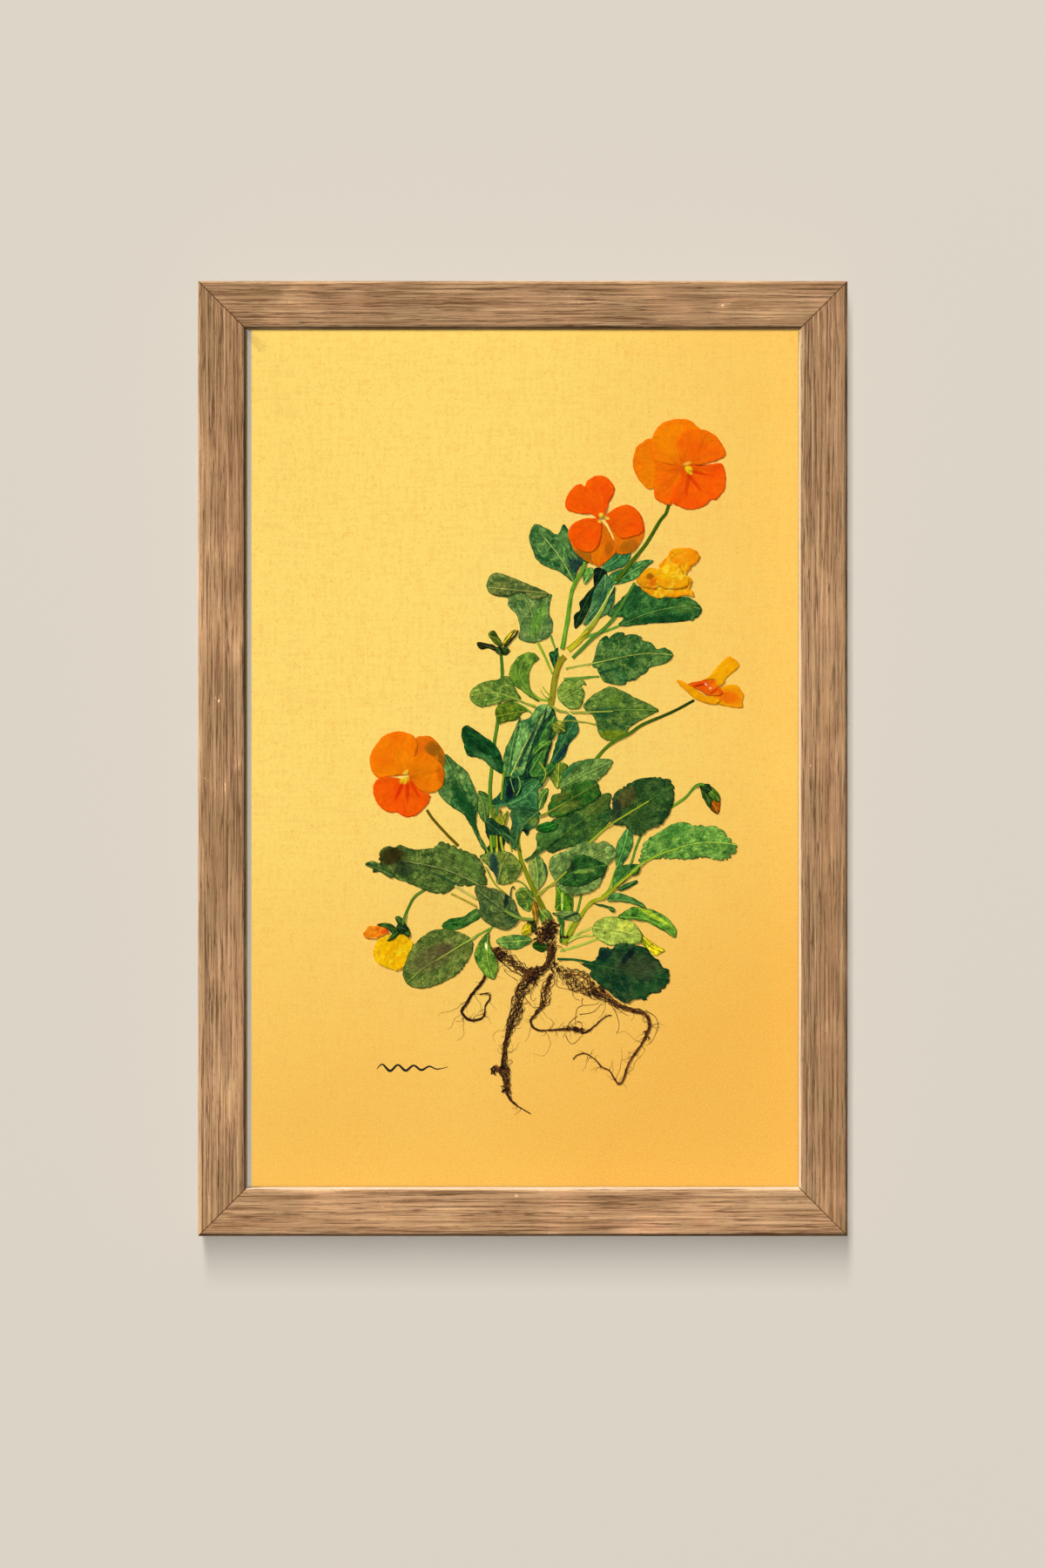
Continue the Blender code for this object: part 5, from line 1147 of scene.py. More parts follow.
def blade(outline, rib_line, teeth, spacing, seed):
    """A leaf's points, relief, triangles and the fields that its veins follow."""
    settings = bpy.context.scene.pressed_leaves
    step = settings.step / MM
    edge = evenly(outline, step * 0.6, True)
    if teeth:
        edge = toothed(edge, teeth, settings.tooth_pitch / MM, seed)
    ragged = np.stack([wander(edge, 1.5, seed), wander(edge, 1.5, seed + 9)], axis=1)
    edge = edge + ragged * LEAF_EDGE_WANDER
    points, faces = fill(edge, step)
    along, aside = along_line(points, evenly(smooth_open(rib_line), 0.8, False))
    loop = np.concatenate([edge, edge[:1]])
    rim = np.abs(along_line(points, loop)[1])
    phase = (along - 0.8 * np.abs(aside)) / spacing + 0.5 * (aside > 0)
    gap = (phase % 1 - 0.5) * spacing
    vein = np.exp(-(gap / 0.35) ** 2) * np.clip(rim / 1.5, 0, 1)
    ridge = np.exp(-(aside / 0.45) ** 2)
    pucker = -np.cos(2 * math.pi * phase) * np.clip(np.abs(aside) / 2, 0, 1)
    relief = settings.relief / MM
    height = (settings.rib / MM * (ridge + 0.5 * vein + 0.35 * pucker)
              + relief * (0.8 * wander(points, 7, seed) + 0.45 * wander(points, 2.4, seed + 3))
              + relief * 0.8 * np.clip(1 - rim / 1.2, 0, 1) * wander(points, 4, seed + 6))
    return points, height - height.min(), faces, {"along": along, "aside": aside, "rim": rim}


def small_blade(outline, spacing, seed):
    """A small leaf or scale, whose rib runs from its first point to the one farthest off."""
    ends = np.array(outline)
    far = ends[np.linalg.norm(ends - ends[0], axis=1).argmax()]
    rib_line = [tuple(ends[0]), tuple(ends.mean(0)), tuple(far)]
    return blade(smooth_closed(outline), rib_line, 0.0, spacing, seed)


def tube(route, sides, flatness, ribs=0, seed=0.0):
    """A flattened tube along (across, up, width) points: points, heights, faces and fields."""
    line = np.asarray(route, float)
    ahead = np.gradient(line[:, :2], axis=0)
    ahead /= np.maximum(np.linalg.norm(ahead, axis=1), 1e-9)[:, None]
    normal = np.stack([-ahead[:, 1], ahead[:, 0]], axis=1)
    gone = np.concatenate([[0], np.cumsum(np.linalg.norm(np.diff(line[:, :2], axis=0), axis=1))])
    turns = np.arange(sides) / sides * 2 * math.pi
    points, heights, around, along = [], [], [], []
    for i, (spot, width) in enumerate(zip(line[:, :2], line[:, 2], strict=True)):
        swell = 1 + 0.06 * noise.noise((gone[i] / 1.5, seed, 0)) * 2
        radius = width / 2 * swell * (1 + 0.07 * np.cos(ribs * turns + 0.6))
        points.append(spot + normal[i] * (radius * np.cos(turns))[:, None])
        heights.append(radius * np.sin(turns) * flatness + width / 2 * flatness)
        around.append(turns)
        along.append(np.full(sides, gone[i]))
    faces = []
    for i in range(len(line) - 1):
        for k in range(sides):
            a, b = i * sides + k, i * sides + (k + 1) % sides
            faces.append((b, a, a + sides, b + sides))
    last = (len(line) - 1) * sides
    faces.append(tuple(range(sides)))
    faces.append(tuple(last + k for k in reversed(range(sides))))
    fields = {"around": np.concatenate(around), "along": np.concatenate(along)}
    return np.concatenate(points), np.concatenate(heights), faces, fields


def join_parts(parts):
    """Several point, height, face and field sets as one."""
    points, heights, faces, fields, start = [], [], [], {}, 0
    for some_points, some_heights, some_faces, some_fields in parts:
        points.append(some_points)
        heights.append(some_heights)
        faces += [tuple(corner + start for corner in face) for face in some_faces]
        for key, values in some_fields.items():
            fields.setdefault(key, []).append(values)
        start += len(some_points)
    joined = {key: np.concatenate(values) for key, values in fields.items()}
    return np.concatenate(points), np.concatenate(heights), faces, joined


class Bed:
    """How high the pressed plant lies above the sheet, on a fine grid."""

    def __init__(self, step):
        self.step = step
        self.low = np.array([SHEET_LOW.x - MIDDLE.x, SHEET_LOW.z - MIDDLE.z]) / MM
        high = np.array([SHEET_HIGH.x - MIDDLE.x, SHEET_HIGH.z - MIDDLE.z]) / MM
        self.height = np.zeros(np.ceil((high - self.low) / step).astype(int) + 1)

    def cells(self, points):
        """The grid cell under each point."""
        found = np.rint((points - self.low) / self.step).astype(int)
        return np.clip(found, 1, np.array(self.height.shape) - 2)

    def eased(self, reach):
        """The surface that a piece rests on if it bridges gaps up to reach wide."""
        steps = max(1, round(reach / self.step))
        field = self.height.copy()
        for axis in (0, 1):
            for _ in range(steps):
                field = np.maximum(field, np.maximum(np.roll(field, 1, axis), np.roll(field, -1, axis)))
            for _ in range(steps):
                field = (field + np.roll(field, 1, axis) + np.roll(field, -1, axis)) / 3
        return np.maximum(field, self.height)

    def settle(self, made):
        """Lays a piece on what is below it, and adds it to the bed."""
        mesh = made.data
        place = np.zeros(len(mesh.vertices) * 3)
        mesh.vertices.foreach_get("co", place)
        place = place.reshape(-1, 3)
        points = (place[:, [0, 2]] - (MIDDLE.x, MIDDLE.z)) / MM
        own = (SHEET_FRONT - place[:, 1]) / MM
        cells = self.cells(points)
        under = self.eased(made["ease"])[cells[:, 0], cells[:, 1]]
        top = own + under + made.get("thick", 0.0) + 0.03
        place[:, 1] = SHEET_FRONT - top * MM
        mesh.vertices.foreach_set("co", place.ravel())
        mesh.update()
        for step_x in (-1, 0, 1):
            for step_y in (-1, 0, 1):
                np.maximum.at(self.height, (cells[:, 0] + step_x, cells[:, 1] + step_y), top)


# --------------------------------------------------------------------------------- materials

def leaf_paint(name, colours, rib, spacing, seed):
    """A dry leaf: mottled blade, streaks, side veins and midrib with painted shade beside them, dark
    margin and soft patches.
    """
    blade_colour, shade, light = (rgb(*c) for c in colours)
    deep = tuple(level * 0.4 for level in shade[:3])
    paint = Paint(name)
    along, aside, rim = (paint.field(key) for key in ("along", "aside", "rim"))
    moved = paint.stretched((1.0, 1.0, 1.0), (seed * 0.37, 0.0, seed * 0.21))
    clouds = paint.noise(190.0, 5.0, 0.62, 0.8, moved)
    mottle = paint.noise(420.0, 7.0, 0.66, 0.5, moved)
    grit = paint.noise(2000.0, 5.0, 0.75, 0.4, moved)
    smudge = paint.noise(240.0, 7.0, 0.68, 0.9, moved)
    wobble = (paint.noise(260.0, 4.0, 0.65, 0.0, moved) - 0.5) * 5.0
    swing = abs(aside)
    phase = (along - swing * 0.8 + wobble) / spacing + aside.maths("GREATER_THAN", 0.0) * 0.5
    gap = abs(phase.fraction() - 0.5) * spacing
    vein = gap.falls(0.03, 0.26) * rim.rises(0.3, 1.6) * smudge.rises(0.36, 0.56)
    vein_groove_shade = gap.falls(0.1, 0.7) * rim.rises(0.2, 1.2)
    lines = paint.node("CombineXYZ", None, {0: along * 0.34, 1: aside * 1.3 + wobble * 0.5,
                                            2: seed * 1.7})
    creases = paint.noise(1.0, 6.0, 0.66, 0.3, lines)
    streak = abs(creases - 0.5).falls(0.0, 0.035)
    cells = paint.node("TexVoronoi", {"feature": "DISTANCE_TO_EDGE"},
                       {"Vector": moved, "Scale": 900.0, "Randomness": 1.0})
    net = cells.falls(0.02, 0.16)
    ridge = swing.falls(0.08, 0.3)
    midrib_groove_shade = swing.falls(0.3, 0.9)
    colour = paint.mix(clouds.rises(0.4, 0.62), blade_colour, shade)
    colour = paint.mix(mottle.rises(0.46, 0.7) * 0.7, colour, light)
    colour = paint.mix(mottle.falls(0.3, 0.52) * 0.6, colour, shade)
    colour = paint.mix(smudge.rises(0.56, 0.74) * 0.5, colour, (*deep, 1.0))
    colour = paint.mix(net * mottle.rises(0.3, 0.6) * 0.22, colour, shade)
    colour = paint.mix(streak * 0.6, colour, (*deep, 1.0))
    # Painted shade: darker banks beside the side veins and beside the midrib, for the shade in the
    # grooves along them
    colour = paint.mix(vein_groove_shade * 0.55 + midrib_groove_shade * 0.4, colour, shade)
    colour = paint.mix(vein * 0.65, colour, rgb(*rib))
    colour = paint.mix(ridge * smudge.rises(0.2, 0.4) * 0.85, colour, rgb(*rib))
    for across, up, half_length, half_width, turn, tone, strength in PATCHES.get(name, ()):
        patch = paint.patch(across, up, half_length, half_width, turn)
        colour = paint.mix(patch * strength, colour, rgb(*tone))
    weather = (mottle - 0.5) * 1.9 + (creases - 0.5) * 2.2 + (grit - 0.5) * 1.6 + 1.0
    weather = weather.maths("MAXIMUM", 0.2)
    grey = paint.node("CombineColor", None, {0: weather, 1: weather, 2: weather})
    colour = paint.mix(1.0, colour, grey, "MULTIPLY")
    colour = paint.mix(rim.falls(0.05, 0.3) * 0.65, colour, (*deep, 1.0))
    tint = (*bpy.context.scene.pressed_leaves.drying, 1.0)
    colour = paint.mix(1.0, colour, tint, "MULTIPLY")
    height = ridge * 0.8 + vein * 0.6 - vein_groove_shade * 0.7 + mottle * 1.2 + creases * 1.4 + grit * 0.4
    return paint.shade(colour, 0.6 + mottle * 0.2, height - net * 0.2, 0.22 * MM,
                       {"Specular IOR Level": 0.2})


def petal_paint(name, colours, opacity, seed, crumple):
    """A dry petal: rays of fine veins, a paler throat and a see-through blade."""
    body, deep, pale = (rgb(*c) for c in colours)
    paint = Paint(name)
    right, up, reach, rim = (paint.field(key) for key in ("right", "up", "reach", "rim"))
    wobble = (paint.noise(420.0, 3.0, 0.55) - 0.5) * 0.3
    fan = paint.node("CombineXYZ", None, {0: (right + wobble) * 7.0, 1: (up - wobble) * 7.0,
                                          2: reach * 0.16 + seed * 3.1})
    rays = paint.noise(1.0, 3.0, 0.6, 0.0, fan)
    thread = abs(rays - 0.5).falls(0.0, 0.03)
    fine_fan = paint.node("CombineXYZ", None, {0: (right + wobble) * 19.0, 1: (up - wobble) * 19.0,
                                               2: reach * 0.3 + seed})
    fine = abs(paint.noise(1.0, 3.0, 0.6, 0.0, fine_fan) - 0.5).falls(0.0, 0.06)
    clouds = paint.noise(130.0, 3.0, 0.5, 0.3)
    grit = paint.noise(1700.0, 5.0, 0.7)
    colour = paint.mix(clouds.rises(0.3, 0.75), body, deep)
    colour = paint.mix(grit.rises(0.45, 0.8) * 0.25, colour, pale)
    colour = paint.mix(fine * 0.4, colour, deep)
    vein_tone = tuple(level * 0.8 for level in deep[:3])
    colour = paint.mix(thread * 0.5, colour, (*vein_tone, 1.0))
    colour = paint.mix(reach.falls(1.0, 6.5) * fine * 0.5, colour, (*vein_tone, 1.0))
    # On crumpled petals: painted highlight and painted shade on the two sides of each fold, and an orange
    # line along it
    if crumple > 1:
        fold_light_shade = paint.noise(300.0, 5.0, 0.6, 0.7)
        fold = abs(fold_light_shade - 0.5).falls(0.0, 0.03)
        colour = paint.mix(fold_light_shade.rises(0.5, 0.66) * 0.7, colour, pale)
        colour = paint.mix(fold_light_shade.falls(0.34, 0.48) * 0.7, colour, deep)
        colour = paint.mix(fold * 0.5, colour, rgb(236, 124, 6))
    for across, up, half_length, half_width, turn, tone, strength in PETAL_PATCHES.get(name, ()):
        patch = paint.patch(across, up, half_length, half_width, turn, 0.4)
        colour = paint.mix(patch * strength, colour, rgb(*tone))
    colour = paint.mix(rim.falls(0.04, 0.22) * 0.3, colour, (*vein_tone, 1.0))
    height = thread * 0.6 + fine * 0.3 + grit * 0.4 + clouds * 0.4
    return paint.shade(colour, 0.65 + grit * 0.1, height, 0.06 * MM,
                       {"Alpha": opacity, "Specular IOR Level": 0.12})


def stem_paint(name, first, last, length):
    """A dry stem: streaks along it, sides darkened as painted shade, from its first colour to its last.
    """
    paint = Paint(name)
    along, around = paint.field("along"), paint.field("around")
    wobble = paint.noise(500.0, 4.0, 0.6) - 0.5
    side_shade = abs((around + wobble * 0.5).maths("COSINE"))
    run = paint.node("CombineXYZ", None, {0: along * 0.25, 1: around * 1.6 + wobble, 2: length})
    streak = paint.noise(1.0, 5.0, 0.65, 0.4, run)
    spots = paint.noise(900.0, 6.0, 0.7, 0.8)
    colour = paint.mix((along / length).rises(0.0, 1.0), rgb(*first), rgb(*last))
    dark = tuple(level * 0.28 for level in rgb(*last)[:3])
    pale = tuple(min(1.0, level * 1.5 + 0.04) for level in rgb(*first)[:3])
    colour = paint.mix(streak.rises(0.52, 0.66) * 0.6, colour, (*pale, 1.0))
    colour = paint.mix(streak.falls(0.36, 0.48) * 0.6, colour, (*dark, 1.0))
    # Painted shade: both sides of the stem are darkened by the angle around it, as on a rounded stem in
    # light
    colour = paint.mix(side_shade.rises(0.72, 0.99) * 0.7, colour, (*dark, 1.0))
    colour = paint.mix(spots.rises(0.56, 0.72) * 0.45, colour, (*dark, 1.0))
    tint = (*bpy.context.scene.pressed_leaves.drying, 1.0)
    colour = paint.mix(1.0, colour, tint, "MULTIPLY")
    return paint.shade(colour, 0.6 + spots * 0.2, streak + spots * 0.6, 0.1 * MM,
                       {"Specular IOR Level": 0.2})


def root_paint():
    """Dry root fibres, from black-brown to reddish brown."""
    paint = Paint("root_fibres")
    clouds = paint.noise(260.0, 5.0, 0.65, 0.8)
    grit = paint.noise(2600.0, 4.0, 0.7)
    tone = paint.field("tone")
    colour = paint.mix(tone, rgb(22, 11, 12), rgb(146, 88, 38))
    colour = paint.mix(clouds.rises(0.46, 0.64) * 0.7, colour, rgb(14, 8, 12))
    colour = paint.mix(grit.rises(0.54, 0.72) * 0.6, colour, rgb(150, 96, 50))
    return paint.shade(colour, 0.75, grit, 0.05 * MM, {"Specular IOR Level": 0.3})


def oak_paint(name, level, inwards, shift, gain):
    """Oiled oak with its grain along the rail and a painted highlight on its inner side faces: level
    where the rail lies across.
    """
    settings = bpy.context.scene.pressed_wood
    paint = Paint(name)
    line = 1 / (settings.ring / MM)
    scale = (0.045, 1.0, 1.0) if level else (1.0, 1.0, 0.045)
    grain = paint.stretched(scale, (shift, 0.0, shift))
    parts = paint.node("SeparateXYZ", None, {0: paint.place}, take=2 if level else 0)
    depth = paint.node("SeparateXYZ", None, {0: paint.place}, take=1)
    wide = paint.noise(120.0, 3.0, 0.55, 0.4, grain)
    thin = paint.noise(420.0, 5.0, 0.7, 1.6, grain)
    ring = (parts + depth * 0.4) * (1000 * line) + wide * 6.0 + thin * 1.7
    band = ring.fraction()
    late = band.rises(0.7, 0.96) * band.falls(0.96, 1.0)
    edge = band.rises(0.88, 0.96) * band.falls(0.96, 1.0)
    along = paint.stretched((0.016, 1.0, 1.0) if level else (1.0, 1.0, 0.016), (shift, 0.0, shift))
    ribbon = paint.noise(1100.0, 5.0, 0.66, 0.3, along)
    short = (0.12, 1.0, 1.0) if level else (1.0, 1.0, 0.12)
    flecks = paint.noise(1300.0, 5.0, 0.75, 0.6, paint.stretched(short))
    pores = paint.noise(3600.0, 2.0, 0.5, 0.0, paint.stretched(short)).rises(0.6, 0.72)
    lines = paint.noise(860.0, 4.0, 0.6, 0.25, along)
    threads = abs(lines - 0.5).falls(0.0, 0.034)
    highlight_facing = paint.node("SeparateXYZ", None, {0: paint.node("NewGeometry", take="True Normal")},
                        take=2 if level else 0)
    face, dark = (*settings.face, 1.0), (*settings.grain, 1.0)
    colour = paint.mix(late * wide.rises(0.3, 0.6) * 0.5, face, dark)
    colour = paint.mix(edge * thin.rises(0.36, 0.56) * 0.6, colour, rgb(92, 60, 32))
    colour = paint.mix(ribbon.falls(0.39, 0.46) * 0.6, colour, dark)
    colour = paint.mix(ribbon.rises(0.53, 0.6) * 0.7, colour, rgb(222, 182, 136))
    colour = paint.mix(threads * 0.9, colour, rgb(98, 62, 34))
    colour = paint.mix(flecks.rises(0.54, 0.7) * 0.25, colour, rgb(206, 164, 120))
    colour = paint.mix(flecks.falls(0.32, 0.46) * 0.2, colour, rgb(132, 92, 58))
    colour = paint.mix(wide.rises(0.5, 0.75) * 0.3, colour, rgb(168, 120, 78))
    colour = paint.mix(pores * 0.5, colour, rgb(96, 66, 38))
    colour = paint.mix(1.0, colour, (gain, gain, gain, 1.0), "MULTIPLY")
    # Painted highlight: the side faces that look inwards are turned a pale tone, for the light that falls
    # on them
    colour = paint.mix((highlight_facing * inwards).rises(0.6, 0.95) * 0.75, colour, rgb(236, 214, 186))
    height = ribbon * 0.6 + flecks * 0.4 - threads * 0.4 - pores * 0.5
    return paint.shade(colour, 0.6 + ribbon * 0.16 + pores * 0.1, height, 0.05 * MM,
                       {"Specular IOR Level": 0.3})


def joint_paint():
    """Dark glue and dust in the mitres."""
    paint = Paint("mitre_filler")
    dust = paint.noise(1600.0, 5.0, 0.7)
    colour = paint.mix(dust.rises(0.4, 0.65), rgb(64, 40, 22), rgb(98, 68, 42))
    return paint.shade(colour, 0.8, dust, 0.05 * MM, {"Specular IOR Level": 0.2})


def sheet_paint():
    """The yellow sheet: a soft change of colour across it, fibres and a fine tooth."""
    settings = bpy.context.scene.pressed_paper
    paint = Paint("yellow_paper")
    low = (SHEET_LOW.x, 0.0, SHEET_HIGH.z)
    sockets = {"Vector": paint.place, "Location": low,
               "Scale": (SHEET_HIGH.x - SHEET_LOW.x, 1.0, SHEET_LOW.z - SHEET_HIGH.z)}
    spread = paint.node("Mapping", {"vector_type": "TEXTURE"}, sockets)
    across = paint.node("SeparateXYZ", None, {0: spread}, take=0)
    down = paint.node("SeparateXYZ", None, {0: spread}, take=2)
    clouds = paint.noise(26.0, 3.0, 0.5)
    fibre = paint.noise(800.0, 5.0, 0.75, 1.2)
    warp = paint.noise(900.0, 3.0, 0.6, 0.0, paint.stretched((1.0, 1.0, 0.12)))
    weft = paint.noise(900.0, 3.0, 0.6, 0.0, paint.stretched((0.12, 1.0, 1.0)))
    tooth = paint.noise(2600.0, 3.0, 0.6)
    share = across.rises(0.35, 1.1) * 0.6 + down.rises(0.45, 1.0) * 0.85 + (clouds - 0.5) * 0.24
    colour = paint.mix(share, (*settings.bright, 1.0), (*settings.deep, 1.0))
    colour = paint.mix(fibre.rises(0.5, 0.66) * 0.5, colour, rgb(242, 172, 66))
    colour = paint.mix((warp + weft).rises(0.98, 1.2) * 0.25, colour, rgb(244, 182, 84))
    colour = paint.mix(tooth.rises(0.48, 0.66) * 0.4, colour, rgb(255, 230, 150))
    height = fibre * 0.7 + tooth * 0.6 + (warp + weft) * 0.5
    return paint.shade(colour, 0.82, height, 0.08 * MM, {"Specular IOR Level": 0.2})


def card_paint():
    """Off-white underlay card with a faint fibre."""
    paint = Paint("underlay_card")
    fibre = paint.noise(1100.0, 5.0, 0.7, 1.0)
    clouds = paint.noise(60.0, 3.0, 0.5)
    colour = paint.mix(fibre * 0.5, rgb(180, 175, 166), rgb(164, 159, 150))
    colour = paint.mix(clouds.rises(0.5, 0.8) * 0.3, colour, rgb(206, 196, 176))
    return paint.shade(colour, 0.85, fibre, 0.04 * MM, {"Specular IOR Level": 0.2})


def board_paint():
    """Brown hardboard: pressed wood fibres, a screen pattern and a few darker stains."""
    paint = Paint("hardboard")
    fibre = paint.noise(1400.0, 7.0, 0.75, 2.2)
    clouds = paint.noise(34.0, 4.0, 0.55)
    mesh = paint.node("TexVoronoi", {"feature": "F1", "distance": "CHEBYCHEV"},
                      {"Vector": paint.place, "Scale": 620.0, "Randomness": 0.12})
    colour = paint.mix(clouds.rises(0.3, 0.7), rgb(150, 106, 66), rgb(122, 82, 48))
    colour = paint.mix(fibre.rises(0.5, 0.72) * 0.6, colour, rgb(186, 142, 96))
    colour = paint.mix(fibre.falls(0.3, 0.46) * 0.6, colour, rgb(78, 50, 28))
    colour = paint.mix(mesh.rises(0.42, 0.6) * 0.35, colour, rgb(84, 56, 32))
    height = fibre * 0.7 - mesh * 0.8
    return paint.shade(colour, 0.78, height, 0.15 * MM, {"Specular IOR Level": 0.25})


def steel_paint():
    """Zinc-plated steel with rolling marks, a few dull spots and a faint yellow cast."""
    paint = Paint("plated_steel")
    rolled = paint.noise(2400.0, 4.0, 0.6, 0.0, paint.stretched((0.08, 1.0, 1.0)))
    spots = paint.noise(420.0, 5.0, 0.65)
    colour = paint.mix(rolled, rgb(198, 194, 182), rgb(160, 156, 142))
    colour = paint.mix(spots.rises(0.56, 0.74) * 0.6, colour, rgb(132, 120, 96))
    roughness = 0.3 + rolled * 0.15 + spots.rises(0.5, 0.75) * 0.25
    return paint.shade(colour, roughness, rolled + spots * 0.5, 0.03 * MM, {"Metallic": 1.0})


def glass_paint():
    """Clear picture glass."""
    paint = Paint("picture_glass")
    smear = paint.noise(30.0, 4.0, 0.6)
    return paint.shade((0.98, 1.0, 0.99, 1.0), smear.rises(0.62, 0.9) * 0.03,
                       None, 0.0, {"Transmission Weight": 1.0, "IOR": 1.45})


def ink_paint():
    """Dried black pen ink."""
    paint = Paint("pen_ink")
    pool = paint.noise(700.0, 4.0, 0.6)
    colour = paint.mix(pool.rises(0.4, 0.7), rgb(20, 22, 24), rgb(40, 42, 40))
    return paint.shade(colour, 0.5 + pool * 0.2, pool, 0.02 * MM)


def wall_paint():
    """A dim matt wall with a little glow of its own, clear from behind."""
    settings = bpy.context.scene.pressed_stage
    paint = Paint("wall")
    matt_tone = tuple(level * 0.18 for level in settings.wall)
    matt = paint.node("BsdfDiffuse", None, {"Color": (*matt_tone, 1.0)})
    glow = paint.node("Emission", None, {"Color": (*settings.wall, 1.0), "Strength": 0.395})
    lit = paint.node("AddShader", None, {0: matt, 1: glow})
    clear = paint.node("BsdfTransparent")
    behind = paint.node("NewGeometry", take="Backfacing")
    both = paint.node("MixShader", None, {0: behind, 1: lit, 2: clear})
    paint.node("OutputMaterial", None, {"Surface": both}, take=None)
    return paint.material


def finish_nodes(paint, *names):
    """Gives nodes of the frame their finish."""
    for name in names:
        mesh = frame["nodes"][name].data
        mesh.materials.clear()
        mesh.materials.append(paint)


# --------------------------------------------------------------------------------- operators

class PRESSED_OT_oak_rails(bpy.types.Operator):
    """Finish the four mitred rails in oiled oak"""

    bl_idname = "pressed.oak_rails"
    bl_label = "Oak Rails"

    def execute(self, context):
        for name, *row in RAILS:
            finish_nodes(oak_paint("oak_" + name, *row), "rail_" + name)
        return {"FINISHED"}


class PRESSED_OT_mitres(bpy.types.Operator):
    """Close the four mitres with a dark line of filler"""

    bl_idname = "pressed.mitres"
    bl_label = "Mitre Filler"

    def execute(self, context):
        paint = joint_paint()
        left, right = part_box("rail_left")[1].x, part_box("rail_right")[0].x
        low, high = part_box("rail_bottom")[1].z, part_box("rail_top")[0].z
        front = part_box("rail_top")[0].y
        corners = {"top_left": (left, high, -1, 1), "top_right": (right, high, 1, 1),
                   "bottom_left": (left, low, -1, -1), "bottom_right": (right, low, 1, -1)}
        for corner, (x, z, across, up) in corners.items():
            place = []
            for side in (-MITRE_HALF, MITRE_HALF):
                slip = side / math.sqrt(2)
                place += [(x + (across * out + up * slip) * MM, front + deep * MM,
                           z + (up * out - across * slip) * MM) for out, deep in JOINT_SECTION]
            count = len(JOINT_SECTION)
            faces = [tuple(range(count)), tuple(reversed(range(count, 2 * count)))]
            faces += [((i + 1) % count, i, i + count, (i + 1) % count + count)
                      for i in range(count)]
            mesh = bpy.data.meshes.new("mitre_" + corner)
            mesh.from_pydata(place, [], faces)
            mesh.materials.append(paint)
            made = bpy.data.objects.new("mitre_" + corner, mesh)
            context.scene.collection.objects.link(made)
            attach(made, "oak")
        return {"FINISHED"}


class PRESSED_OT_glass(bpy.types.Operator):
    """Finish the glass, which lets the lamps through to the plant"""

    bl_idname = "pressed.glass"
    bl_label = "Glass"

    def execute(self, context):
        finish_nodes(glass_paint(), "glass")
        frame["nodes"]["glass"].visible_shadow = False
        return {"FINISHED"}


class PRESSED_OT_papers(bpy.types.Operator):
    """Finish the yellow sheet and the card under it"""

    bl_idname = "pressed.papers"
    bl_label = "Papers"

    def execute(self, context):
        finish_nodes(sheet_paint(), "mount_sheet")
        finish_nodes(card_paint(), "underlay")
        return {"FINISHED"}


class PRESSED_OT_backing(bpy.types.Operator):
    """Finish the hardboard back"""

    bl_idname = "pressed.backing"
    bl_label = "Backing Board"

    def execute(self, context):
        finish_nodes(board_paint(), "backing_board")
        return {"FINISHED"}


class PRESSED_OT_metalwork(bpy.types.Operator):
    """Finish the tabs, the hanger and its nails in plated steel"""

    bl_idname = "pressed.metalwork"
    bl_label = "Metalwork"

    def execute(self, context):
        finish_nodes(steel_paint(), "tab_left", "tab_right", "tab_top", "tab_bottom", "hanger",
                     "nail_left", "nail_right")
        return {"FINISHED"}


class PRESSED_OT_leaves(bpy.types.Operator):
    """Make the large leaves in place of the frame's flat ones"""

    bl_idname = "pressed.leaves"
    bl_label = "Leaves"

    def execute(self, context):
        thick = context.scene.pressed_leaves.thick
        for seed, (name, row) in enumerate(LEAVES.items()):
            layer, blade_tone, shade, light, rib, teeth, spacing, line = row
            points, heights, faces, fields = blade(
                cad_outline(name), line, teeth, spacing, seed * 7.3)
            paint = leaf_paint(name, (blade_tone, shade, light), rib, spacing, seed)
            made = make_piece("pressed_" + name, points, heights, faces, paint, layer, LEAF_EASE,
                              fields)
            thicken(made, thick)
            attach(made, "leaf", name)
        return {"FINISHED"}


class PRESSED_OT_small_leaves(bpy.types.Operator):
    """Make the small leaves, bracts and scales"""

    bl_idname = "pressed.small_leaves"
    bl_label = "Small Leaves"

    def execute(self, context):
        thick = context.scene.pressed_leaves.thick
        for seed, (name, row) in enumerate(SMALL_LEAVES.items(), start=len(LEAVES)):
            layer, colour, outline = row
            points, heights, faces, fields = small_blade(outline, SMALL_VEIN_PITCH, seed * 7.3)
            paint = leaf_paint(name, tones(colour), tones(colour)[2], SMALL_VEIN_PITCH, seed)
            made = make_piece(name, points, heights, faces, paint, layer, SMALL_EASE, fields)
            thicken(made, thick)
            attach(made, "leaf")
        return {"FINISHED"}


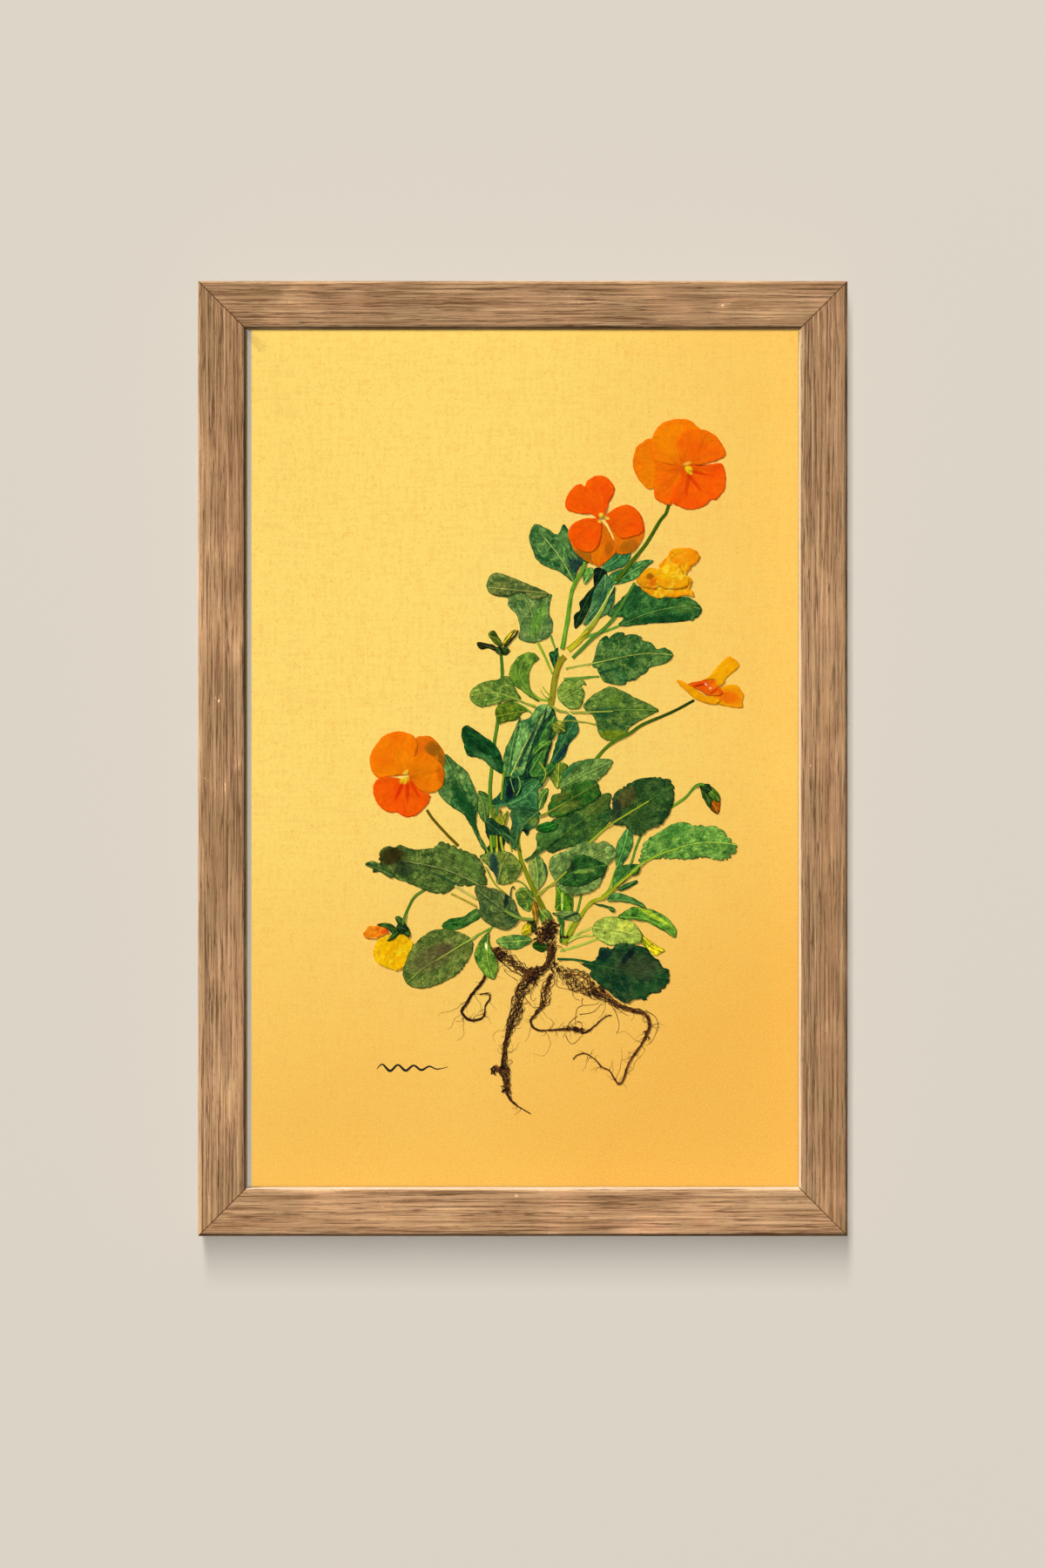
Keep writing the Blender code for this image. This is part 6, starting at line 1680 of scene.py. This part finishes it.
class PRESSED_OT_flowers(bpy.types.Operator):
    """Make each flower's petals in place of the frame's flat flowers"""

    bl_idname = "pressed.flowers"
    bl_label = "Flowers"

    def execute(self, context):
        settings = context.scene.pressed_petals
        step = settings.step / MM
        seed = 0
        for flower, (throat, petals) in FLOWERS.items():
            crumple = 2.4 if flower in ("flower_crumpled", "flower_withered") else 1.0
            for part, (layer, colours, opacity, outline) in petals.items():
                seed += 1
                name = f"{flower}_{part}"
                edge = evenly(smooth_closed(outline), step * 0.6, True)
                ruffle = np.stack([wander(edge, 1.3, seed), wander(edge, 1.3, seed + 50)], axis=1)
                points, faces = fill(edge + ruffle * 0.09 * crumple, step)
                offset = points - np.array(throat)
                reach = np.linalg.norm(offset, axis=1)
                aim = offset / np.maximum(reach, 0.01)[:, None]
                loop = np.concatenate([edge, edge[:1]])
                rim = np.abs(along_line(points, loop)[1])
                fan = np.array([noise.noise((5 * x, 5 * y, r / 9 + seed)) for (x, y), r in
                                zip(aim, reach, strict=True)])
                relief = settings.relief / MM * crumple
                height = relief * (0.9 * fan + 0.5 * wander(points, 3.2 / crumple, seed)
                                   + 0.35 * wander(points, 1.4, seed + 5) * crumple)
                fields = {"right": aim[:, 0], "up": aim[:, 1], "reach": reach, "rim": rim}
                made = make_piece(name, points, height - height.min(), faces,
                                  petal_paint(name, colours, opacity, seed, crumple), layer,
                                  FINE_EASE, fields)
                thicken(made, settings.thick)
                attach(made, "petal", flower)
        return {"FINISHED"}


class PRESSED_OT_flower_parts(bpy.types.Operator):
    """Make the sepals, the nodding bud and the open seed capsule"""

    bl_idname = "pressed.flower_parts"
    bl_label = "Sepals, Bud and Capsule"

    def execute(self, context):
        slots = {"flower_withered": "bud", "bud": "bud", "seed_capsule": "capsule"}
        for node, parts in SEPALS.items():
            for number, (layer, colour, outline) in enumerate(parts, start=1):
                name = f"{node}_scale_{number}"
                points, heights, faces, fields = small_blade(
                    outline, SCALE_VEIN_PITCH, layer * 3.1)
                swell = np.clip(fields["rim"] / 0.9, 0, 1) ** 0.5 * 0.35
                paint = leaf_paint(name, tones(colour), tones(colour)[2],
                                   SCALE_VEIN_PITCH, layer)
                made = make_piece(name, points, heights * 0.6 + swell, faces, paint, layer,
                                  FINE_EASE, fields)
                thicken(made, SCALE_THICK)
                attach(made, slots[node], node)
        return {"FINISHED"}


class PRESSED_OT_stems(bpy.types.Operator):
    """Make the stems and flower stalks in place of the frame's plain ones"""

    bl_idname = "pressed.stems"
    bl_label = "Stems"

    def execute(self, context):
        settings = context.scene.pressed_stems
        for seed, (name, row) in enumerate(STEMS.items()):
            layer, wide, narrow, first, last, route = row
            line = evenly(smooth_open(route), 0.5, False)
            length = 0.5 * len(line)
            widths = np.linspace(wide, narrow, len(line))
            part = tube(np.column_stack([line, widths]), settings.sides, settings.flatness,
                        settings.ribs, seed * 4.7)
            paint = stem_paint(name, first, last, length)
            made = make_piece("pressed_" + name, *part[:3], paint, layer, SMALL_EASE, part[3])
            attach(made, "stem", name)
        return {"FINISHED"}


class PRESSED_OT_leaf_stalks(bpy.types.Operator):
    """Make the leaf stalks and loose tendrils"""

    bl_idname = "pressed.leaf_stalks"
    bl_label = "Leaf Stalks"

    def execute(self, context):
        settings = context.scene.pressed_stems
        for group, (layer, rows) in LEAF_STALKS.items():
            for number, (wide, narrow, tone, route) in enumerate(rows, start=1):
                line = evenly(smooth_open(route), 0.45, False)
                widths = np.linspace(wide, narrow, len(line))
                part = tube(np.column_stack([line, widths]), 12, settings.flatness, 3, number * 2.3)
                name = f"{group}_{number}"
                paint = stem_paint(name, tone, tone, 0.45 * len(line))
                made = make_piece(name, *part[:3], paint, layer, FINE_EASE, part[3])
                attach(made, "stem")
        return {"FINISHED"}


class PRESSED_OT_roots(bpy.types.Operator):
    """Make the root bundles as many wandering fibres"""

    bl_idname = "pressed.roots"
    bl_label = "Roots"

    def execute(self, context):
        settings = context.scene.pressed_roots
        wide = settings.fibre / MM
        paint = root_paint()
        draw = random.Random(settings.seed)
        for name, (count, route) in ROOTS.items():
            bundle = evenly(smooth_open(route), 0.6, False)
            parts = [self.fibre(draw, bundle, wide) for _ in range(count)]
            parts += [self.wisp(draw, bundle, wide) for _ in range(count * 3)]
            made = make_piece("pressed_" + name, *self.joined(parts), paint, 31, 0.4,
                              join_parts(parts)[3])
            attach(made, "root", name)
        strays = []
        for route in STRAY_FIBRES:
            line = evenly(smooth_open(route), 0.4, False)
            widths = np.linspace(wide * 1.15, wide * 0.5, len(line))
            strays.append(self.tinted(tube(np.column_stack([line, widths]), 5, 0.8), draw))
        made = make_piece("root_strays", *self.joined(strays), paint, 32, 0.4,
                          join_parts(strays)[3])
        attach(made, "root")
        return {"FINISHED"}

    def joined(self, parts):
        """The points, heights and faces of all parts."""
        return join_parts(parts)[:3]

    def tinted(self, part, draw):
        """The part with its own tone."""
        points, heights, faces, fields = part
        tone = draw.random() ** 2.4
        return points, heights, faces, {**fields, "tone": np.full(len(points), tone)}

    def fibre(self, draw, bundle, wide):
        """One fibre that wanders within its bundle."""
        seed = draw.uniform(0, 500)
        first = draw.randrange(0, max(1, len(bundle) // 14))
        last = len(bundle) - draw.choice((0, 1)) * draw.randrange(0, max(1, len(bundle) // 3))
        line = bundle[first:last]
        lane = draw.uniform(-1, 1)
        ahead = np.gradient(line[:, :2], axis=0)
        normal = np.stack([-ahead[:, 1], ahead[:, 0]], axis=1)
        normal /= np.maximum(np.linalg.norm(normal, axis=1), 1e-9)[:, None]
        steps = np.arange(len(line)) * 0.6
        sway = np.array([0.65 * lane + 1.5 * noise.noise((s / 6.5, seed, 0))
                         + 0.8 * noise.noise((s / 1.7, seed, 7)) for s in steps])
        shake = np.array([0.3 * noise.noise((s / 1.1, seed, 3)) for s in steps])
        reach = np.clip(sway, -1.1, 1.1) * line[:, 2] / 2 + shake
        spots = line[:, :2] + normal * reach[:, None]
        widths = wide * draw.uniform(0.6, 1.25) * np.linspace(1.1, 0.7, len(line))
        points, heights, faces, fields = tube(np.column_stack([spots, widths]), 5, 0.9)
        lift = draw.uniform(0, 0.55)
        return self.tinted((points, heights + lift, faces, fields), draw)

    def wisp(self, draw, bundle, wide):
        """A short side root that leaves the bundle."""
        at = draw.randrange(2, len(bundle) - 4)
        side = draw.choice((-1, 1))
        ahead = bundle[at + 1, :2] - bundle[at, :2]
        heading = math.atan2(ahead[1], ahead[0]) + side * draw.uniform(0.3, 1.3)
        spot = bundle[at, :2] + np.array([-ahead[1], ahead[0]]) * side * bundle[at, 2] * 0.35
        far = draw.random() < 0.14
        turn = draw.uniform(-0.35, 0.35) * (0.2 if far else 1.0)
        spots = [spot]
        for _ in range(draw.randrange(18, 40) if far else draw.randrange(4, 13)):
            heading += turn + draw.uniform(-0.35, 0.35)
            spots.append(spots[-1] + 0.34 * np.array([math.cos(heading), math.sin(heading)]))
        widths = np.linspace(wide * 0.6, wide * 0.25, len(spots))
        return self.tinted(tube(np.column_stack([np.array(spots), widths]), 4, 0.9), draw)


class PRESSED_OT_crown(bpy.types.Operator):
    """Make the tangle of soil, old leaf bases and dead fibres round the crown"""

    bl_idname = "pressed.crown"
    bl_label = "Crown Tangle"

    def execute(self, context):
        settings = context.scene.pressed_roots
        draw = random.Random(settings.seed + 1)
        parts = []
        for (across, up), reach_across, reach_up, count in TANGLES:
            for _ in range(count):
                turn = draw.uniform(0, 2 * math.pi)
                out = draw.random() ** 0.5
                spot = np.array([across + reach_across * out * math.cos(turn),
                                 up + reach_up * out * math.sin(turn)])
                heading = draw.uniform(0, 2 * math.pi)
                spots = [spot]
                for _ in range(draw.randrange(3, 8)):
                    heading += draw.uniform(-0.9, 0.9)
                    spots.append(spots[-1] + 0.3 * np.array([math.cos(heading), math.sin(heading)]))
                width = draw.uniform(0.18, 0.75)
                widths = width * np.sin(np.linspace(0.5, 2.8, len(spots)))
                points, heights, faces, fields = tube(
                    np.column_stack([np.array(spots), widths]), 6, 0.6)
                tone = draw.random() ** 3
                fields["tone"] = np.full(len(points), tone)
                parts.append((points, heights + draw.uniform(0, 0.5), faces, fields))
        points, heights, faces, fields = join_parts(parts)
        made = make_piece("crown_tangle", points, heights, faces, root_paint(), 67, 0.4, fields)
        attach(made, "root")
        return {"FINISHED"}


class PRESSED_OT_flourish(bpy.types.Operator):
    """Draw a plain wavy pen line on the sheet"""

    bl_idname = "pressed.flourish"
    bl_label = "Pen Flourish"

    def execute(self, context):
        line = evenly(smooth_open(FLOURISH, 10), 0.25, False)
        points, heights, faces, fields = tube(line, 8, 0.06)
        made = make_piece("pen_flourish", points, heights, faces, ink_paint(), 0, 0.4, fields)
        attach(made, "yellow_sheet")
        return {"FINISHED"}


class PRESSED_OT_settle(bpy.types.Operator):
    """Lay every pressed piece on what is below it, from the lowest layer up"""

    bl_idname = "pressed.settle"
    bl_label = "Settle the Plant"

    def execute(self, context):
        bed = Bed(BED_CELL)
        pieces = [piece for piece in context.scene.objects if "layer" in piece]
        for piece in sorted(pieces, key=lambda piece: (piece["layer"], piece.name)):
            bed.settle(piece)
        highest = max(self.press(piece) for piece in pieces)
        if highest > PLANT_ROOM:
            raise RuntimeError(f"the plant is {highest:.2f} mm high and touches the glass")
        return {"FINISHED"}

    def press(self, piece):
        """Squeezes a piece's heights below the press's limit, and returns its highest."""
        place = np.zeros(len(piece.data.vertices) * 3)
        piece.data.vertices.foreach_get("co", place)
        heights = (SHEET_FRONT - place[1::3]) / MM
        pressed = PRESS_LIMIT * (1 - np.exp(-heights / PRESS_LIMIT))
        place[1::3] = SHEET_FRONT - pressed * MM
        piece.data.vertices.foreach_set("co", place)
        piece.data.update()
        return pressed.max()


class PRESSED_OT_stage(bpy.types.Operator):
    """Set up the wall, the lamps and the camera"""

    bl_idname = "pressed.stage"
    bl_label = "Stage"

    def execute(self, context):
        settings = context.scene.pressed_stage
        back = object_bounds()[1].y
        mesh = bpy.data.meshes.new("wall")
        half = WALL_SIZE / 2
        corners = [(-half, 0, -half), (half, 0, -half), (half, 0, half), (-half, 0, half)]
        mesh.from_pydata(corners, [], [(0, 1, 2, 3)])
        mesh.materials.append(wall_paint())
        wall = bpy.data.objects.new("wall", mesh)
        wall.location = (0, back + WALL_GAP, MIDDLE.z)
        context.scene.collection.objects.link(wall)
        wall.visible_shadow = False
        wall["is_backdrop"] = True
        rails = [frame["nodes"]["rail_" + side] for side in ("left", "right", "top", "bottom")]
        key = self.sun("key_sun", settings.key, 14, (-0.45, -0.75, 0.48))
        self.link(key, "receiver_collection", [wall, *rails], "EXCLUDE")
        self.link(key, "blocker_collection", rails, "EXCLUDE")
        side = self.sun("rail_sun", settings.rail_key, 14, (-0.62, -0.42, 0.66))
        self.link(side, "receiver_collection", rails, "INCLUDE")
        front = self.sun("front_sun", settings.front, 1, (0, -1, 0))
        for sun in (key, side, front):
            sun.visible_glossy = False
        strip = self.lamp("wall_lamp", settings.wall_key, (1.2, 7.5), (-0.9, -10, 4.3))
        strip.visible_glossy = False
        self.link(strip, "receiver_collection", [wall], "INCLUDE")
        self.lamp("back_lamp", settings.back, (1.2, 1.2), (0.8, 1.3, 0.7))
        world = bpy.data.worlds.new("room")
        world.use_nodes = True
        sky = world.node_tree.nodes["Background"]
        sky.inputs["Color"].default_value = (1.0, 0.985, 0.96, 1.0)
        sky.inputs["Strength"].default_value = settings.ambient
        world.cycles_visibility.transmission = False
        context.scene.world = world
        context.scene.view_settings.view_transform = "Standard"
        self.camera(context)
        return {"FINISHED"}

    def place(self, name, data, offset):
        """A lamp at an offset from the middle of the frame, turned towards it."""
        made = bpy.data.objects.new(name, data)
        made.location = MIDDLE + Vector(offset)
        made.rotation_euler = (-Vector(offset)).to_track_quat("-Z", "Y").to_euler()
        made.visible_transmission = False
        bpy.context.scene.collection.objects.link(made)
        return made

    def sun(self, name, strength, softness, offset):
        """A lamp whose light is even all over; softness is its width in degrees."""
        data = bpy.data.lights.new(name, "SUN")
        data.energy = strength
        data.angle = math.radians(softness)
        return self.place(name, data, offset)

    def lamp(self, name, power, size, offset):
        """A rectangular lamp."""
        data = bpy.data.lights.new(name, "AREA")
        data.shape = "RECTANGLE"
        data.energy = power
        data.size, data.size_y = size
        return self.place(name, data, offset)

    def link(self, lamp, kind, objects, state):
        """Lets a lamp reach only the objects, or all but them, or be blocked so."""
        group = bpy.data.collections.new(f"{lamp.name}_{kind}")
        for item in objects:
            group.objects.link(item)
        for member in group.collection_objects:
            member.light_linking.link_state = state
        setattr(lamp.light_linking, kind, group)

    def camera(self, context):
        """A long lens square to the frame."""
        data = bpy.data.cameras.new("camera")
        data.lens = 135.0
        made = bpy.data.objects.new("camera", data)
        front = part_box("rail_top")[0].y
        distance = 1.944
        made.location = (MIDDLE.x - 0.14 * MM, front - distance, MIDDLE.z - 8.4 * MM)
        made.rotation_euler = (math.radians(90), 0, 0)
        context.scene.collection.objects.link(made)
        context.scene.camera = made


class PRESSED_PT_panel(bpy.types.Panel):
    """The frame's pieces, in the order in which they are made"""

    bl_idname = "PRESSED_PT_panel"
    bl_label = "Pressed Flower Frame"
    bl_space_type = "VIEW_3D"
    bl_region_type = "UI"
    bl_category = "Pressed Flower"

    def draw(self, context):
        layout = self.layout
        for operator in OPERATORS:
            layout.operator(operator.bl_idname)
        for name in SETTINGS:
            box = layout.box()
            group = getattr(context.scene, name)
            for key in group.__annotations__:
                box.prop(group, key)


SETTINGS = {
    "pressed_wood": WoodSettings,
    "pressed_paper": PaperSettings,
    "pressed_leaves": LeafSettings,
    "pressed_petals": PetalSettings,
    "pressed_stems": StemSettings,
    "pressed_roots": RootSettings,
    "pressed_stage": StageSettings,
}
OPERATORS = (
    PRESSED_OT_oak_rails,
    PRESSED_OT_mitres,
    PRESSED_OT_glass,
    PRESSED_OT_papers,
    PRESSED_OT_backing,
    PRESSED_OT_metalwork,
    PRESSED_OT_leaves,
    PRESSED_OT_small_leaves,
    PRESSED_OT_flowers,
    PRESSED_OT_flower_parts,
    PRESSED_OT_stems,
    PRESSED_OT_leaf_stalks,
    PRESSED_OT_roots,
    PRESSED_OT_crown,
    PRESSED_OT_flourish,
    PRESSED_OT_settle,
    PRESSED_OT_stage,
)


def register():
    """Adds the settings, operators and panel."""
    for name, group in SETTINGS.items():
        bpy.utils.register_class(group)
        setattr(bpy.types.Scene, name, PointerProperty(type=group))
    for made in (*OPERATORS, PRESSED_PT_panel):
        bpy.utils.register_class(made)


def unregister():
    """Removes the settings, operators and panel."""
    for made in (PRESSED_PT_panel, *reversed(OPERATORS)):
        bpy.utils.unregister_class(made)
    for name, group in SETTINGS.items():
        delattr(bpy.types.Scene, name)
        bpy.utils.unregister_class(group)


def main():
    """Makes every piece and the stage."""
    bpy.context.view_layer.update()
    register()
    for operator in OPERATORS:
        group, name = operator.bl_idname.split(".")
        getattr(getattr(bpy.ops, group), name)()


if __name__ == "__main__":
    main()
